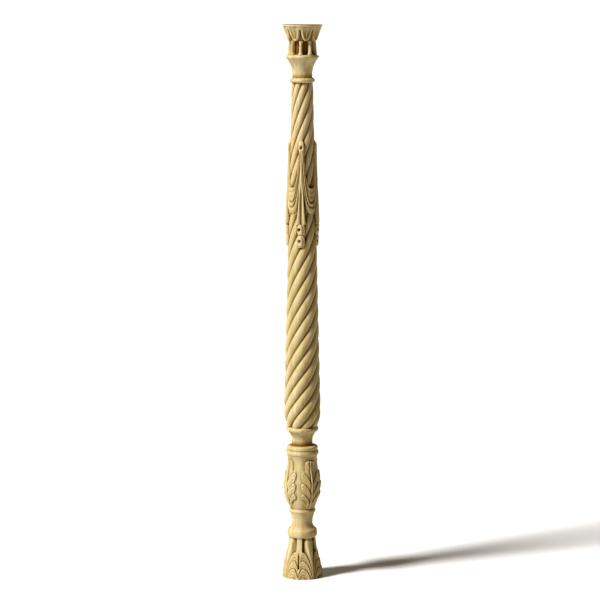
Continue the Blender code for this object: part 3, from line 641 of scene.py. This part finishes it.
# %% Carve the foot
def carve_foot(angle, height, radius):
    across = np.abs(from_nearest(angle, LEAVES, LEAF_TURN))
    half_pitch = pi / LEAVES
    tucked_in = 1.0 - smooth(height, FOOT_HEIGHT - FOOT_CROWN_TUCKS_IN, FOOT_HEIGHT)

    crest = FOOT_CREST_SPREAD * smooth(height, FOOT_CRESTS_MEET, FOOT_HEIGHT)
    slope = np.clip((across - crest) / (half_pitch - FOOT_BAND_HALF_WIDTH - crest), 0.0, 1.0)
    swelling = (1.0 - FOOT_CROWN_AT_FLOOR) * smooth(height, 0.0, FOOT_CROWN_FULL_AT)
    crown = FOOT_LEAF_CROWN * (FOOT_CROWN_AT_FLOOR + swelling) * tucked_in
    body = radius + crown - (crown + FOOT_VALLEY_DEPTH) * (1.0 - (1.0 - slope) ** 2)
    on_band = within((across - half_pitch + FOOT_BAND_HALF_WIDTH) * radius)
    ground = body + (radius - body) * on_band

    side = np.clip(across / FOOT_LEAF_HALF_WIDTH, 0.0, 1.0)
    inner = np.clip(FOOT_LOBE_PEAK - side, 0.0, 1.0) / FOOT_LOBE_PEAK
    outer = np.clip(side - FOOT_LOBE_PEAK, 0.0, 1.0) / (1.0 - FOOT_LOBE_PEAK)
    level = height + FOOT_LOBE_FALL * inner ** FOOT_LOBE_BEND + FOOT_LOBE_DIP * outer ** 2
    tilt = FOOT_LOBE_BEND * FOOT_LOBE_FALL * inner ** (FOOT_LOBE_BEND - 1.0)
    tilt = tilt / (FOOT_LOBE_PEAK * FOOT_LEAF_HALF_WIDTH * radius)
    lobes = radius + FOOT_CROWN_UNDER_LOBES * crown * (1.0 - side)
    relief = feathered(level, tilt, FOOT_LOBE_TOPS + FOOT_LOBES_BELOW) - FOOT_LOBE_SINK
    lobes = lobes + FOOT_LOBE_STEP * relief
    lobed = within((FOOT_LOBE_TOPS[0] - level) / np.hypot(1.0, tilt))
    parting = smooth(groove(half_pitch - across, FOOT_PARTING_HALF_WIDTH), 0.0, 1.0)
    parting = parting * smooth(height, FOOT_PARTING_END, FOOT_PARTING_END + FOOT_PARTING_FADE)
    parting = parting * smooth(FOOT_PARTING_START - height, 0.0, FOOT_PARTING_FADE)
    return ground + (lobes - ground) * lobed - FOOT_PARTING_DEPTH * parting


# %% [markdown]
# The head
#
# Eight petals hang from the rim of the head, each with a raised border round a sunk field and a thin
# rib. Under them eight small posts, one below each gap between two petals, stand round a dark,
# deep-cut hollow. The hollow is 8 mm deep and closed behind, so it is a cut like the others and not
# an opening.

# %% Sizes of the petals and the posts
PETALS = 8
PETAL_TURN = radians(15.0)
PETAL_TIP = 0.0245
PETAL_ARCH_HEIGHT = 0.0160
PETAL_HALF_WIDTH = radians(20.0)
PETAL_NARROWEST = 0.01
PETAL_FLATTENS = (0.0380, 0.0470)
PETAL_GAP_DEPTH = 0.0045
PETAL_GAP_CLOSES = (0.0380, 0.0455)
PETAL_FIELD_DEPTH = 0.0021
PETAL_FIELD_SHARE = 0.62
PETAL_FIELD_EDGE = 0.0016
PETAL_FIELD_FADES_BY = 0.6
PETAL_BORDER = 0.0034
PETAL_RIB_HALF_WIDTH = 0.0012
PETAL_RIB_PROUD = 0.0013
PETAL_ROLL = 0.0014
WINDOW_SILL = 0.0030
WINDOW_RADIUS = 0.0152
WINDOW_HEAD = 0.0340
WINDOW_HEAD_SPLAY = 0.0100
POST_HALF_WIDTH = radians(6.8)
POST_FLARE = radians(4.5)
POST_FLARE_HEIGHT = 0.006
POST_BEHIND_PETALS = 0.002
POST_SET_BACK = 0.0013
POST_ROLL = 0.0020
RIM_FILLET = 0.001
print(PETALS, "petals round the head, with their tips at", round(HEAD_FOOT + PETAL_TIP, 3), "m")


# %% Carve the head
def carve_head(angle, height, radius):
    rise = height - HEAD_FOOT
    across = np.abs(from_nearest(angle, PETALS, PETAL_TURN))
    from_post = pi / PETALS - across

    flare_below = 1.0 - smooth(rise, WINDOW_SILL, WINDOW_SILL + POST_FLARE_HEIGHT)
    flare_above = smooth(rise, PETAL_TIP - POST_FLARE_HEIGHT, PETAL_TIP + POST_BEHIND_PETALS)
    post_half_width = POST_HALF_WIDTH + POST_FLARE * (flare_below + flare_above)
    post = radius - POST_SET_BACK * smooth(rise, WINDOW_SILL, PETAL_TIP)
    post = post - POST_ROLL * np.clip(from_post / post_half_width, 0.0, 1.0) ** 2
    window = radius + (WINDOW_RADIUS - radius) * within(rise - WINDOW_SILL)
    lower = window + (post - window) * within((post_half_width - from_post) * HEAD_RADIUS)

    up = np.clip((rise - PETAL_TIP) / PETAL_ARCH_HEIGHT, 0.0, 1.0)
    petal_half_width = PETAL_HALF_WIDTH * np.sqrt(1.0 - (1.0 - up) ** 2)
    field_up = np.clip((rise - PETAL_TIP - PETAL_BORDER) / PETAL_ARCH_HEIGHT, 0.0, 1.0)
    field_half_width = PETAL_FIELD_SHARE * PETAL_HALF_WIDTH * np.sqrt(1.0 - (1.0 - field_up) ** 2)
    field = within((field_half_width - across) * radius, PETAL_FIELD_EDGE)
    rib = PETAL_RIB_PROUD * (1.0 - np.clip(across * radius / PETAL_RIB_HALF_WIDTH, 0.0, 1.0) ** 2)
    flat = smooth(rise, *PETAL_FLATTENS)
    petal = radius - (PETAL_FIELD_DEPTH - rib) * field * (1.0 - PETAL_FIELD_FADES_BY * flat)
    beside = np.clip(across / np.maximum(petal_half_width, PETAL_NARROWEST), 0.0, 1.0)
    petal = petal - PETAL_ROLL * beside ** 4 * (1.0 - flat)
    gap = radius - PETAL_GAP_DEPTH * (1.0 - smooth(rise, *PETAL_GAP_CLOSES))
    splayed = lower + WINDOW_HEAD_SPLAY * smooth(rise, PETAL_TIP, WINDOW_HEAD)
    behind = np.where(rise > PETAL_TIP, np.minimum(gap, splayed), lower)
    on_petal = within((petal_half_width - across) * radius) * within(rise - PETAL_TIP)
    carved = behind + (petal - behind) * on_petal
    rim = smooth(rise, HEAD_HEIGHT - RIM_HEIGHT - RIM_FILLET, HEAD_HEIGHT - RIM_HEIGHT)
    return carved + (radius - carved) * rim


# %% [markdown]
# One surface for the whole piece
#
# All the cuts come together in one function that gives the carved radius for any angle and height.
# It is used first to move the points of the mesh, and later to find out which of them lie in a hollow.

# %% The carved radius at any place
CARVED_STRETCHES = ((0.0, FOOT_HEIGHT, carve_foot),
                    (VASE_FOOT, VASE_TOP, carve_vase),
                    (SHAFT_FOOT, SHAFT_TOP, carve_shaft),
                    (HEAD_FOOT + COLLAR_SLOPE, TOTAL_HEIGHT, carve_head))


def carved_radius(angle, height):
    radius = np.interp(height, turned_heights, turned_radii)
    carved = radius.copy()
    for foot, top, carve in CARVED_STRETCHES:
        here = (height >= foot) & (height <= top)
        carved[here] = carve(angle[here], height[here], radius[here])
    return carved


# %% [markdown]
# Wrap the blank
#
# A spin would turn the outline into the blank as well, but with almost 400,000 points it takes most
# of a minute, and its faces come out in another order each time. bmesh.ops.create_grid makes as
# many squares at once, always in the same order: its columns become angles and its rows become
# heights. The seam is then merged and each end closed with one flat face. Rings lie close where there
# is carving and further apart on the plain strands.

# %% Lay out the rings
FINE_SPACING = 0.00060
PLAIN_SPACING = 0.0014
SPACING_TOLERANCE = 0.9
COLUMNS = 360
SHAFT_FOOT_DETAIL = 0.045
HUSKS_BELOW_HEM = 0.060
KNOT_MARGIN = 0.004
ASTRAGAL_MARGIN = 0.002
FINE_STRETCHES = ((0.0, VASE_TOP + SHAFT_FOOT_DETAIL),
                  (SHAFT_TOP - HEM[0] - HUSKS_BELOW_HEM, SHAFT_TOP - KNOT_DROP + KNOT_MARGIN),
                  (SHAFT_TOP - ASTRAGAL_MARGIN, TOTAL_HEIGHT))

ring_heights = [0.0]
for foot, top in zip(turned_heights[:-1], turned_heights[1:]):
    fine = any(low_end <= foot <= high_end for low_end, high_end in FINE_STRETCHES)
    spacing = FINE_SPACING if fine else PLAIN_SPACING
    if top - ring_heights[-1] >= SPACING_TOLERANCE * spacing or top == turned_heights[-1]:
        ring_heights.append(float(top))
print(len(ring_heights), "rings of", COLUMNS, "points")

# %% Wrap a grid round the axis
GRID_REACH = 0.5
SEAM_REACH = 0.0001
MERGE_DISTANCE = 1e-5

work = bmesh.new()
bmesh.ops.create_grid(work, x_segments=COLUMNS, y_segments=len(ring_heights) - 1, size=GRID_REACH)
seam = []
for vertex in work.verts:
    turn = tau * (vertex.co.x + GRID_REACH)
    if abs(vertex.co.x) > GRID_REACH - SEAM_REACH:
        seam.append(vertex)
    ring_height = ring_heights[round((vertex.co.y + GRID_REACH) * (len(ring_heights) - 1))]
    vertex.co = (sin(turn), -cos(turn), ring_height)
bmesh.ops.remove_doubles(work, verts=seam, dist=MERGE_DISTANCE)
rims = [edge for edge in work.edges if edge.is_boundary]
bmesh.ops.holes_fill(work, edges=rims, sides=0)
bmesh.ops.recalc_face_normals(work, faces=work.faces)
mesh = bpy.data.meshes.new("baluster")
work.to_mesh(mesh)
work.free()
print(len(mesh.vertices), "points on the blank")


# %% Move every point to the carved surface
def places(mesh):
    """Angles, heights and positions of a mesh's points."""
    points = np.empty(3 * len(mesh.vertices))
    mesh.vertices.foreach_get("co", points)
    points = points.reshape(-1, 3)
    return np.arctan2(points[:, 0], -points[:, 1]), points[:, 2], points


angle, height, points = places(mesh)
carved = carved_radius(angle, height)
blank = np.interp(height, turned_heights, turned_radii)
points[:, 0] = carved * np.sin(angle)
points[:, 1] = -carved * np.cos(angle)
mesh.vertices.foreach_set("co", points.ravel())
mesh.update()
print("deepest cut:", round(1000 * float((blank - carved).max()), 2), "mm")

# %% [markdown]
# Thin the mesh
#
# A regular grid spends as many faces on a plain cove as on a leaf. The Decimate modifier takes them
# away where the surface is nearly flat and leaves them along the cuts. A vertex group keeps the rims
# of the two flat ends out of it, so that the piece still stands flat.

# %% Thin it to a workable size
TRIANGLES = 190000
END_TOLERANCE = 1e-6
SHARP_EDGE_ANGLE = radians(52.0)


def on_sawn_ends(height):
    """Which points lie on one of the two flat ends."""
    return (height < END_TOLERANCE) | (height > TOTAL_HEIGHT - END_TOLERANCE)


baluster = bpy.data.objects.new("carved_wood", mesh)
bpy.context.scene.collection.objects.link(baluster)
between = baluster.vertex_groups.new(name="between_the_ends")
carved_points = np.flatnonzero(~on_sawn_ends(height))
between.add([int(index) for index in carved_points], 1.0, "REPLACE")
mesh.calc_loop_triangles()
thinning = baluster.modifiers.new("Thinning", "DECIMATE")
thinning.ratio = TRIANGLES / len(mesh.loop_triangles)
thinning.vertex_group = between.name
evaluated = baluster.evaluated_get(bpy.context.evaluated_depsgraph_get())
thinned = bpy.data.meshes.new_from_object(evaluated)
baluster.modifiers.clear()
baluster.vertex_groups.clear()
baluster.data = thinned
bpy.data.meshes.remove(mesh)
thinned.name = "carved_wood"
thinned.shade_smooth()
thinned.set_sharp_from_angle(angle=SHARP_EDGE_ANGLE)
thinned.calc_loop_triangles()
print(len(thinned.loop_triangles), "triangles")

# %% [markdown]
# Where the hollows are
#
# The material paints shade into the bottoms of the cuts, a darker and warmer tone, and a highlight
# on the crests, a paler tone. It has to know which is which. For each point the carved radius is
# also read at places round about: where those lie further out, the point is in a hollow. A reach of
# 3 mm finds the narrow cuts, and one of 8 mm the broad, deep places under the petals. The result is
# stored on the mesh as an attribute, which the material reads.

# %% Measure the hollows
LOOKS_ROUND = 10
CUT_REACH = 0.0028
CUT_DEPTH = 0.0014
DEEP_PLACE_REACH = 0.0080
DEEP_PLACE_DEPTH = 0.0050
DEEP_PLACE_FROM = 0.1
CLEARLY_HOLLOW = 0.2


def outward_by(reach):
    """How much further out the surface lies, on average, at a reach from each point."""
    around = np.zeros_like(here)
    for look in range(LOOKS_ROUND):
        turn = tau * look / LOOKS_ROUND
        aside = angle + reach * cos(turn) / here
        above = np.clip(height + reach * sin(turn), 0.0, TOTAL_HEIGHT)
        around += carved_radius(aside, above) / LOOKS_ROUND
    return around - here


angle, height, points = places(thinned)
here = carved_radius(angle, height)
cuts = outward_by(CUT_REACH) / CUT_DEPTH
deep_places = outward_by(DEEP_PLACE_REACH) / DEEP_PLACE_DEPTH
hollow = np.where(deep_places > DEEP_PLACE_FROM, np.maximum(cuts, deep_places), cuts)
hollow = np.clip(hollow, -1.0, 1.0)
hollow[on_sawn_ends(height)] = 0.0
# The hollow value drives the painted shade in the cuts and the painted highlight on the crests.
attribute = thinned.attributes.new("hollow", "FLOAT", "POINT")
attribute.data.foreach_set("value", hollow.astype(np.float32))
print("hollows:", round(100 * float((hollow > CLEARLY_HOLLOW).mean())), "% of the points")

# %% [markdown]
# The wood
#
# The real piece is a pale, even hardwood, planed and sanded but not oiled: matt, straw-coloured, with
# fine straight grain along its length, and broader, fainter streaks where the growth rings pass. An
# image would need unwrapping and would stretch on the relief. Noise on Object coordinates works like
# wood does, because the pattern fills the whole block and each cut opens it up.

# %% Start the material
SHEEN = 0.35

wood = bpy.data.materials.new("pale_hardwood")
wood.use_nodes = True
nodes = wood.node_tree.nodes
links = wood.node_tree.links
shader = nodes["Principled BSDF"]
shader.inputs["Metallic"].default_value = 0.0
shader.inputs["Specular IOR Level"].default_value = SHEEN
position = nodes.new("ShaderNodeTexCoord").outputs["Object"]


def stretched_noise(across, along, detail, distortion=0.0):
    """Noise with so many cells a metre across the grain and so many along it."""
    stretch = nodes.new("ShaderNodeMapping")
    stretch.inputs["Scale"].default_value = (across, across, along)
    links.new(position, stretch.inputs["Vector"])
    noise = nodes.new("ShaderNodeTexNoise")
    noise.inputs["Scale"].default_value = 1.0
    noise.inputs["Detail"].default_value = detail
    noise.inputs["Distortion"].default_value = distortion
    links.new(stretch.outputs["Vector"], noise.inputs["Vector"])
    return noise.outputs["Fac"]


def ramp(value, start, end, low_value=0.0, high_value=1.0):
    """Map a value between start and end to a new span, and stop at both ends."""
    node = nodes.new("ShaderNodeMapRange")
    node.inputs["From Min"].default_value = start
    node.inputs["From Max"].default_value = end
    node.inputs["To Min"].default_value = low_value
    node.inputs["To Max"].default_value = high_value
    links.new(value, node.inputs["Value"])
    return node.outputs["Result"]


def calculate(operation, first, second):
    """One sum on two values, either of which may be a number."""
    node = nodes.new("ShaderNodeMath")
    node.operation = operation
    for socket, value in zip(node.inputs, (first, second)):
        if isinstance(value, (int, float)):
            socket.default_value = value
        else:
            links.new(value, socket)
    return node.outputs["Value"]


def mix(blend, amount, first, second):
    """Blend two colours, either of which may be a plain colour."""
    node = nodes.new("ShaderNodeMix")
    node.data_type = "RGBA"
    node.blend_type = blend
    for name, value in (("Factor_Float", amount), ("A_Color", first), ("B_Color", second)):
        socket = next(each for each in node.inputs if each.identifier == name)
        if isinstance(value, (int, float, tuple)):
            socket.default_value = value
        else:
            links.new(value, socket)
    return next(each for each in node.outputs if each.identifier == "Result_Color")


# %% [markdown]
# Grain, streaks and pores
#
# Three sizes of streak make straight-grained wood: broad streaks a centimetre wide, the fine grain
# one to two millimetres wide, and pores, which are short dark scratches. All are much longer than
# they are wide, so their coordinates are squeezed along Z.

# %% Colour of the long grain
PALE_WOOD = (0.645, 0.570, 0.400, 1.0)
WARM_WOOD = (0.485, 0.385, 0.175, 1.0)
PORE_TINT = (0.62, 0.50, 0.36, 1.0)
PORE_STRENGTH = 0.35
BROAD_STREAKS_WEIGH = 0.55
FINE_STREAKS_WEIGH = 0.45
BROAD_SPAN = (0.32, 0.68)
FINE_SPAN = (0.30, 0.70)
PORE_SPAN = (0.60, 0.72)

broad = stretched_noise(across=95.0, along=2.6, detail=2.0, distortion=0.6)
fine = stretched_noise(across=620.0, along=9.0, detail=4.0, distortion=0.3)
pores = stretched_noise(across=2300.0, along=55.0, detail=2.0)

broad_streaks = calculate("MULTIPLY", ramp(broad, *BROAD_SPAN), BROAD_STREAKS_WEIGH)
fine_streaks = calculate("MULTIPLY", ramp(fine, *FINE_SPAN), FINE_STREAKS_WEIGH)
tone = calculate("ADD", broad_streaks, fine_streaks)
long_grain = mix("MIX", tone, PALE_WOOD, WARM_WOOD)
pore_mark = ramp(pores, *PORE_SPAN, 0.0, PORE_STRENGTH)
long_grain = mix("MULTIPLY", pore_mark, long_grain, PORE_TINT)
print("the grain has", len(nodes), "nodes so far")

# %% [markdown]
# End grain
#
# The two sawn ends cut straight across the growth rings, so they show arcs round a pith that lies
# outside the blank, and they look darker than the sides because the cut ends of the vessels drink in
# light. The rings are bands of distance from that pith, which wander a little.

# %% Rings round the pith
PITH = (0.055, 0.038, 0.0)
RING_WIDTH = 0.0031
RING_WANDER = 0.0022

from_pith = nodes.new("ShaderNodeVectorMath")
from_pith.operation = "SUBTRACT"
from_pith.inputs[1].default_value = PITH
links.new(position, from_pith.inputs[0])
flat = nodes.new("ShaderNodeVectorMath")
flat.operation = "MULTIPLY"
flat.inputs[1].default_value = (1.0, 1.0, 0.0)
links.new(from_pith.outputs["Vector"], flat.inputs[0])
distance = nodes.new("ShaderNodeVectorMath")
distance.operation = "LENGTH"
links.new(flat.outputs["Vector"], distance.inputs[0])
wander = calculate("MULTIPLY", stretched_noise(across=60.0, along=60.0, detail=2.0), RING_WANDER)
wandering = calculate("ADD", distance.outputs["Value"], wander)
rings = calculate("SINE", calculate("MULTIPLY", wandering, tau / RING_WIDTH), 0.0)

# %% Colour of the end grain
PALE_END_GRAIN = (0.53, 0.44, 0.28, 1.0)
DARK_END_GRAIN = (0.39, 0.30, 0.165, 1.0)
VESSEL_TINT = (0.78, 0.70, 0.58, 1.0)
VESSEL_SPAN = (0.45, 0.65)
VESSEL_STRENGTH = 0.5
RING_TONES = (0.15, 0.75)
END_CUT = 0.0002

end_tone = ramp(rings, -1.0, 1.0, *RING_TONES)
end_grain = mix("MIX", end_tone, PALE_END_GRAIN, DARK_END_GRAIN)
vessels = stretched_noise(across=2600.0, along=2600.0, detail=1.0)
speckle = ramp(vessels, *VESSEL_SPAN, 0.0, VESSEL_STRENGTH)
end_grain = mix("MULTIPLY", speckle, end_grain, VESSEL_TINT)

split = nodes.new("ShaderNodeSeparateXYZ")
links.new(position, split.inputs["Vector"])
at_foot = calculate("LESS_THAN", split.outputs["Z"], END_CUT)
at_top = calculate("GREATER_THAN", split.outputs["Z"], TOTAL_HEIGHT - END_CUT)
sawn = calculate("ADD", at_foot, at_top)

# %% [markdown]
# Painted shade in the cuts and deep places, painted highlight on the crests
#
# The bottoms of the cuts get a browner, more saturated tone as painted shade, and the deepest places,
# such as those behind the little posts of the head and the drilled eyes, still more of it. The crests
# get a little paler, as a painted highlight. Painting this by hand would take long and would not
# follow a change of shape, so the measured hollows drive it.

# %% Put the colours together
# Painted shade: a browner tone in the cuts, and more of it in the deepest places.
HOLLOW_SHADE_TINT = (0.43, 0.29, 0.10, 1.0)
DEEPEST_SHADE_TINT = (0.86, 0.70, 0.34, 1.0)
# Painted highlight: a paler, cooler tone on the crests.
CREST_HIGHLIGHT_TINT = (1.06, 1.07, 1.12, 1.0)
HOLLOW_SHADE_SPAN = (0.05, 0.95)
DEEPEST_SHADE_SPAN = (0.80, 1.00)
CREST_HIGHLIGHT_SPAN = (-0.55, -0.05)
HOLLOW_SHADE_STRENGTH = 0.85
DEEPEST_SHADE_STRENGTH = 0.9
CREST_HIGHLIGHT_STRENGTH = 0.6

hollow_value = nodes.new("ShaderNodeAttribute")
hollow_value.attribute_name = "hollow"
deep = ramp(hollow_value.outputs["Fac"], *HOLLOW_SHADE_SPAN, 0.0, HOLLOW_SHADE_STRENGTH)
deepest = ramp(hollow_value.outputs["Fac"], *DEEPEST_SHADE_SPAN, 0.0, DEEPEST_SHADE_STRENGTH)
crest = ramp(hollow_value.outputs["Fac"], *CREST_HIGHLIGHT_SPAN, CREST_HIGHLIGHT_STRENGTH, 0.0)
# Painted shade in the hollows, most in the deepest places.
colour = mix("MULTIPLY", deep, long_grain, HOLLOW_SHADE_TINT)
colour = mix("MULTIPLY", deepest, colour, DEEPEST_SHADE_TINT)
# Painted highlight on the crests.
colour = mix("MULTIPLY", crest, colour, CREST_HIGHLIGHT_TINT)
colour = mix("MIX", sawn, colour, end_grain)
links.new(colour, shader.inputs["Base Color"])

# %% [markdown]
# The feel of the surface
#
# Sanded, unoiled wood is matt. The fine grain changes its roughness a little, and the grain, shallow
# tool marks and the pores give it a faint relief of less than half a millimetre. Relief as fine as
# this would cost millions of triangles, so it is a bump.

# %% Roughness and the feel of the surface
SMOOTHEST = 0.58
ROUGHEST = 0.76
GRAIN_FEEL = 0.35
TOOL_MARKS_FEEL = 0.65
PORES_FEEL = 0.5
FEEL_STRENGTH = 0.55
FEEL_DEPTH = 0.00045

links.new(ramp(fine, *FINE_SPAN, SMOOTHEST, ROUGHEST), shader.inputs["Roughness"])

tool_marks = stretched_noise(across=210.0, along=130.0, detail=1.0)
feel = calculate("ADD", calculate("MULTIPLY", fine, GRAIN_FEEL),
                 calculate("MULTIPLY", tool_marks, TOOL_MARKS_FEEL))
feel = calculate("SUBTRACT", feel, calculate("MULTIPLY", pore_mark, PORES_FEEL))
bump = nodes.new("ShaderNodeBump")
bump.inputs["Strength"].default_value = FEEL_STRENGTH
bump.inputs["Distance"].default_value = FEEL_DEPTH
links.new(feel, bump.inputs["Height"])
links.new(bump.outputs["Normal"], shader.inputs["Normal"])

thinned.materials.clear()
thinned.materials.append(wood)
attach(baluster, "root")
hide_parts("carved_baluster")
print(len(nodes), "nodes in the wood")

# %% [markdown]
# Floor and light
#
# The baluster stands on a plain white floor that runs on as far as the camera sees. A soft sun from
# the left and a little in front models the relief. The bright floor, a faint warm sky and a weak,
# wide sun from behind on the right fill the shaded side. Lamps close by would light the floor
# unevenly. A look of very high contrast, a little underexposed, makes the cuts deep.

# %% Lay the floor
FLOOR_HALF_WIDTH = 120.0
PAPER_WHITE = (0.90, 0.90, 0.92, 1.0)
PAPER_ROUGHNESS = 0.9

work = bmesh.new()
bmesh.ops.create_grid(work, x_segments=1, y_segments=1, size=FLOOR_HALF_WIDTH)
floor_mesh = bpy.data.meshes.new("floor")
work.to_mesh(floor_mesh)
work.free()
floor = bpy.data.objects.new("floor", floor_mesh)
bpy.context.scene.collection.objects.link(floor)
paper = bpy.data.materials.new("pale_paper")
paper.use_nodes = True
paper_shader = paper.node_tree.nodes["Principled BSDF"]
paper_shader.inputs["Base Color"].default_value = PAPER_WHITE
paper_shader.inputs["Roughness"].default_value = PAPER_ROUGHNESS
floor_mesh.materials.append(paper)
print("floor", 2 * FLOOR_HALF_WIDTH, "m wide")


# %% Set the lights
def soft_sun(name, bearing, elevation, strength, softness):
    """A sun that comes from a bearing, counted from the front towards +X, at an elevation."""
    lamp = bpy.data.lights.new(name, "SUN")
    lamp.energy = strength
    lamp.angle = radians(softness)
    sun = bpy.data.objects.new(name, lamp)
    sun.rotation_euler = (radians(90.0 - elevation), 0.0, radians(bearing))
    bpy.context.scene.collection.objects.link(sun)


soft_sun("key", bearing=-62.0, elevation=42.0, strength=3.6, softness=12.0)
soft_sun("fill", bearing=145.0, elevation=30.0, strength=0.6, softness=40.0)

# %% Set the sky and the look
WARM_SKY = (1.0, 0.80, 0.46, 1.0)
SKY_STRENGTH = 0.11
EXPOSURE = -0.42

world = bpy.data.worlds.new("studio")
world.use_nodes = True
world.node_tree.nodes["Background"].inputs["Color"].default_value = WARM_SKY
world.node_tree.nodes["Background"].inputs["Strength"].default_value = SKY_STRENGTH
bpy.context.scene.world = world
view = bpy.context.scene.view_settings
view.view_transform = "Standard"
view.look = "Very High Contrast"
view.exposure = EXPOSURE
print("look:", view.look, "at an exposure of", EXPOSURE)

# %% [markdown]
# The camera
#
# The photograph looks slightly down at the baluster from about four metres away: its foot is seen
# from further above than its head. Heights on the picture fix the distance, the camera's own height
# and its pitch together.

# %% Place the camera
IMAGE_WIDTH = 600
AXIS_COLUMN = 302.35
CAMERA_DISTANCE = 3.8
CAMERA_HEIGHT = 1.0
CAMERA_PITCH = radians(8.1315)
FOCAL_LENGTH = 142.34
SENSOR_WIDTH = 36.0
SEES_AS_FAR_AS = 300.0

lens = bpy.data.cameras.new("camera")
lens.lens = FOCAL_LENGTH
lens.sensor_width = SENSOR_WIDTH
lens.clip_end = SEES_AS_FAR_AS
camera = bpy.data.objects.new("camera", lens)
focal_pixels = IMAGE_WIDTH * FOCAL_LENGTH / SENSOR_WIDTH
camera.location = (0.0, -CAMERA_DISTANCE, CAMERA_HEIGHT)
camera_yaw = atan((AXIS_COLUMN - 0.5 * IMAGE_WIDTH) / focal_pixels)
camera.rotation_euler = (0.5 * pi - CAMERA_PITCH, 0.0, camera_yaw)
bpy.context.scene.collection.objects.link(camera)
bpy.context.scene.camera = camera
print("camera", CAMERA_DISTANCE, "m away")
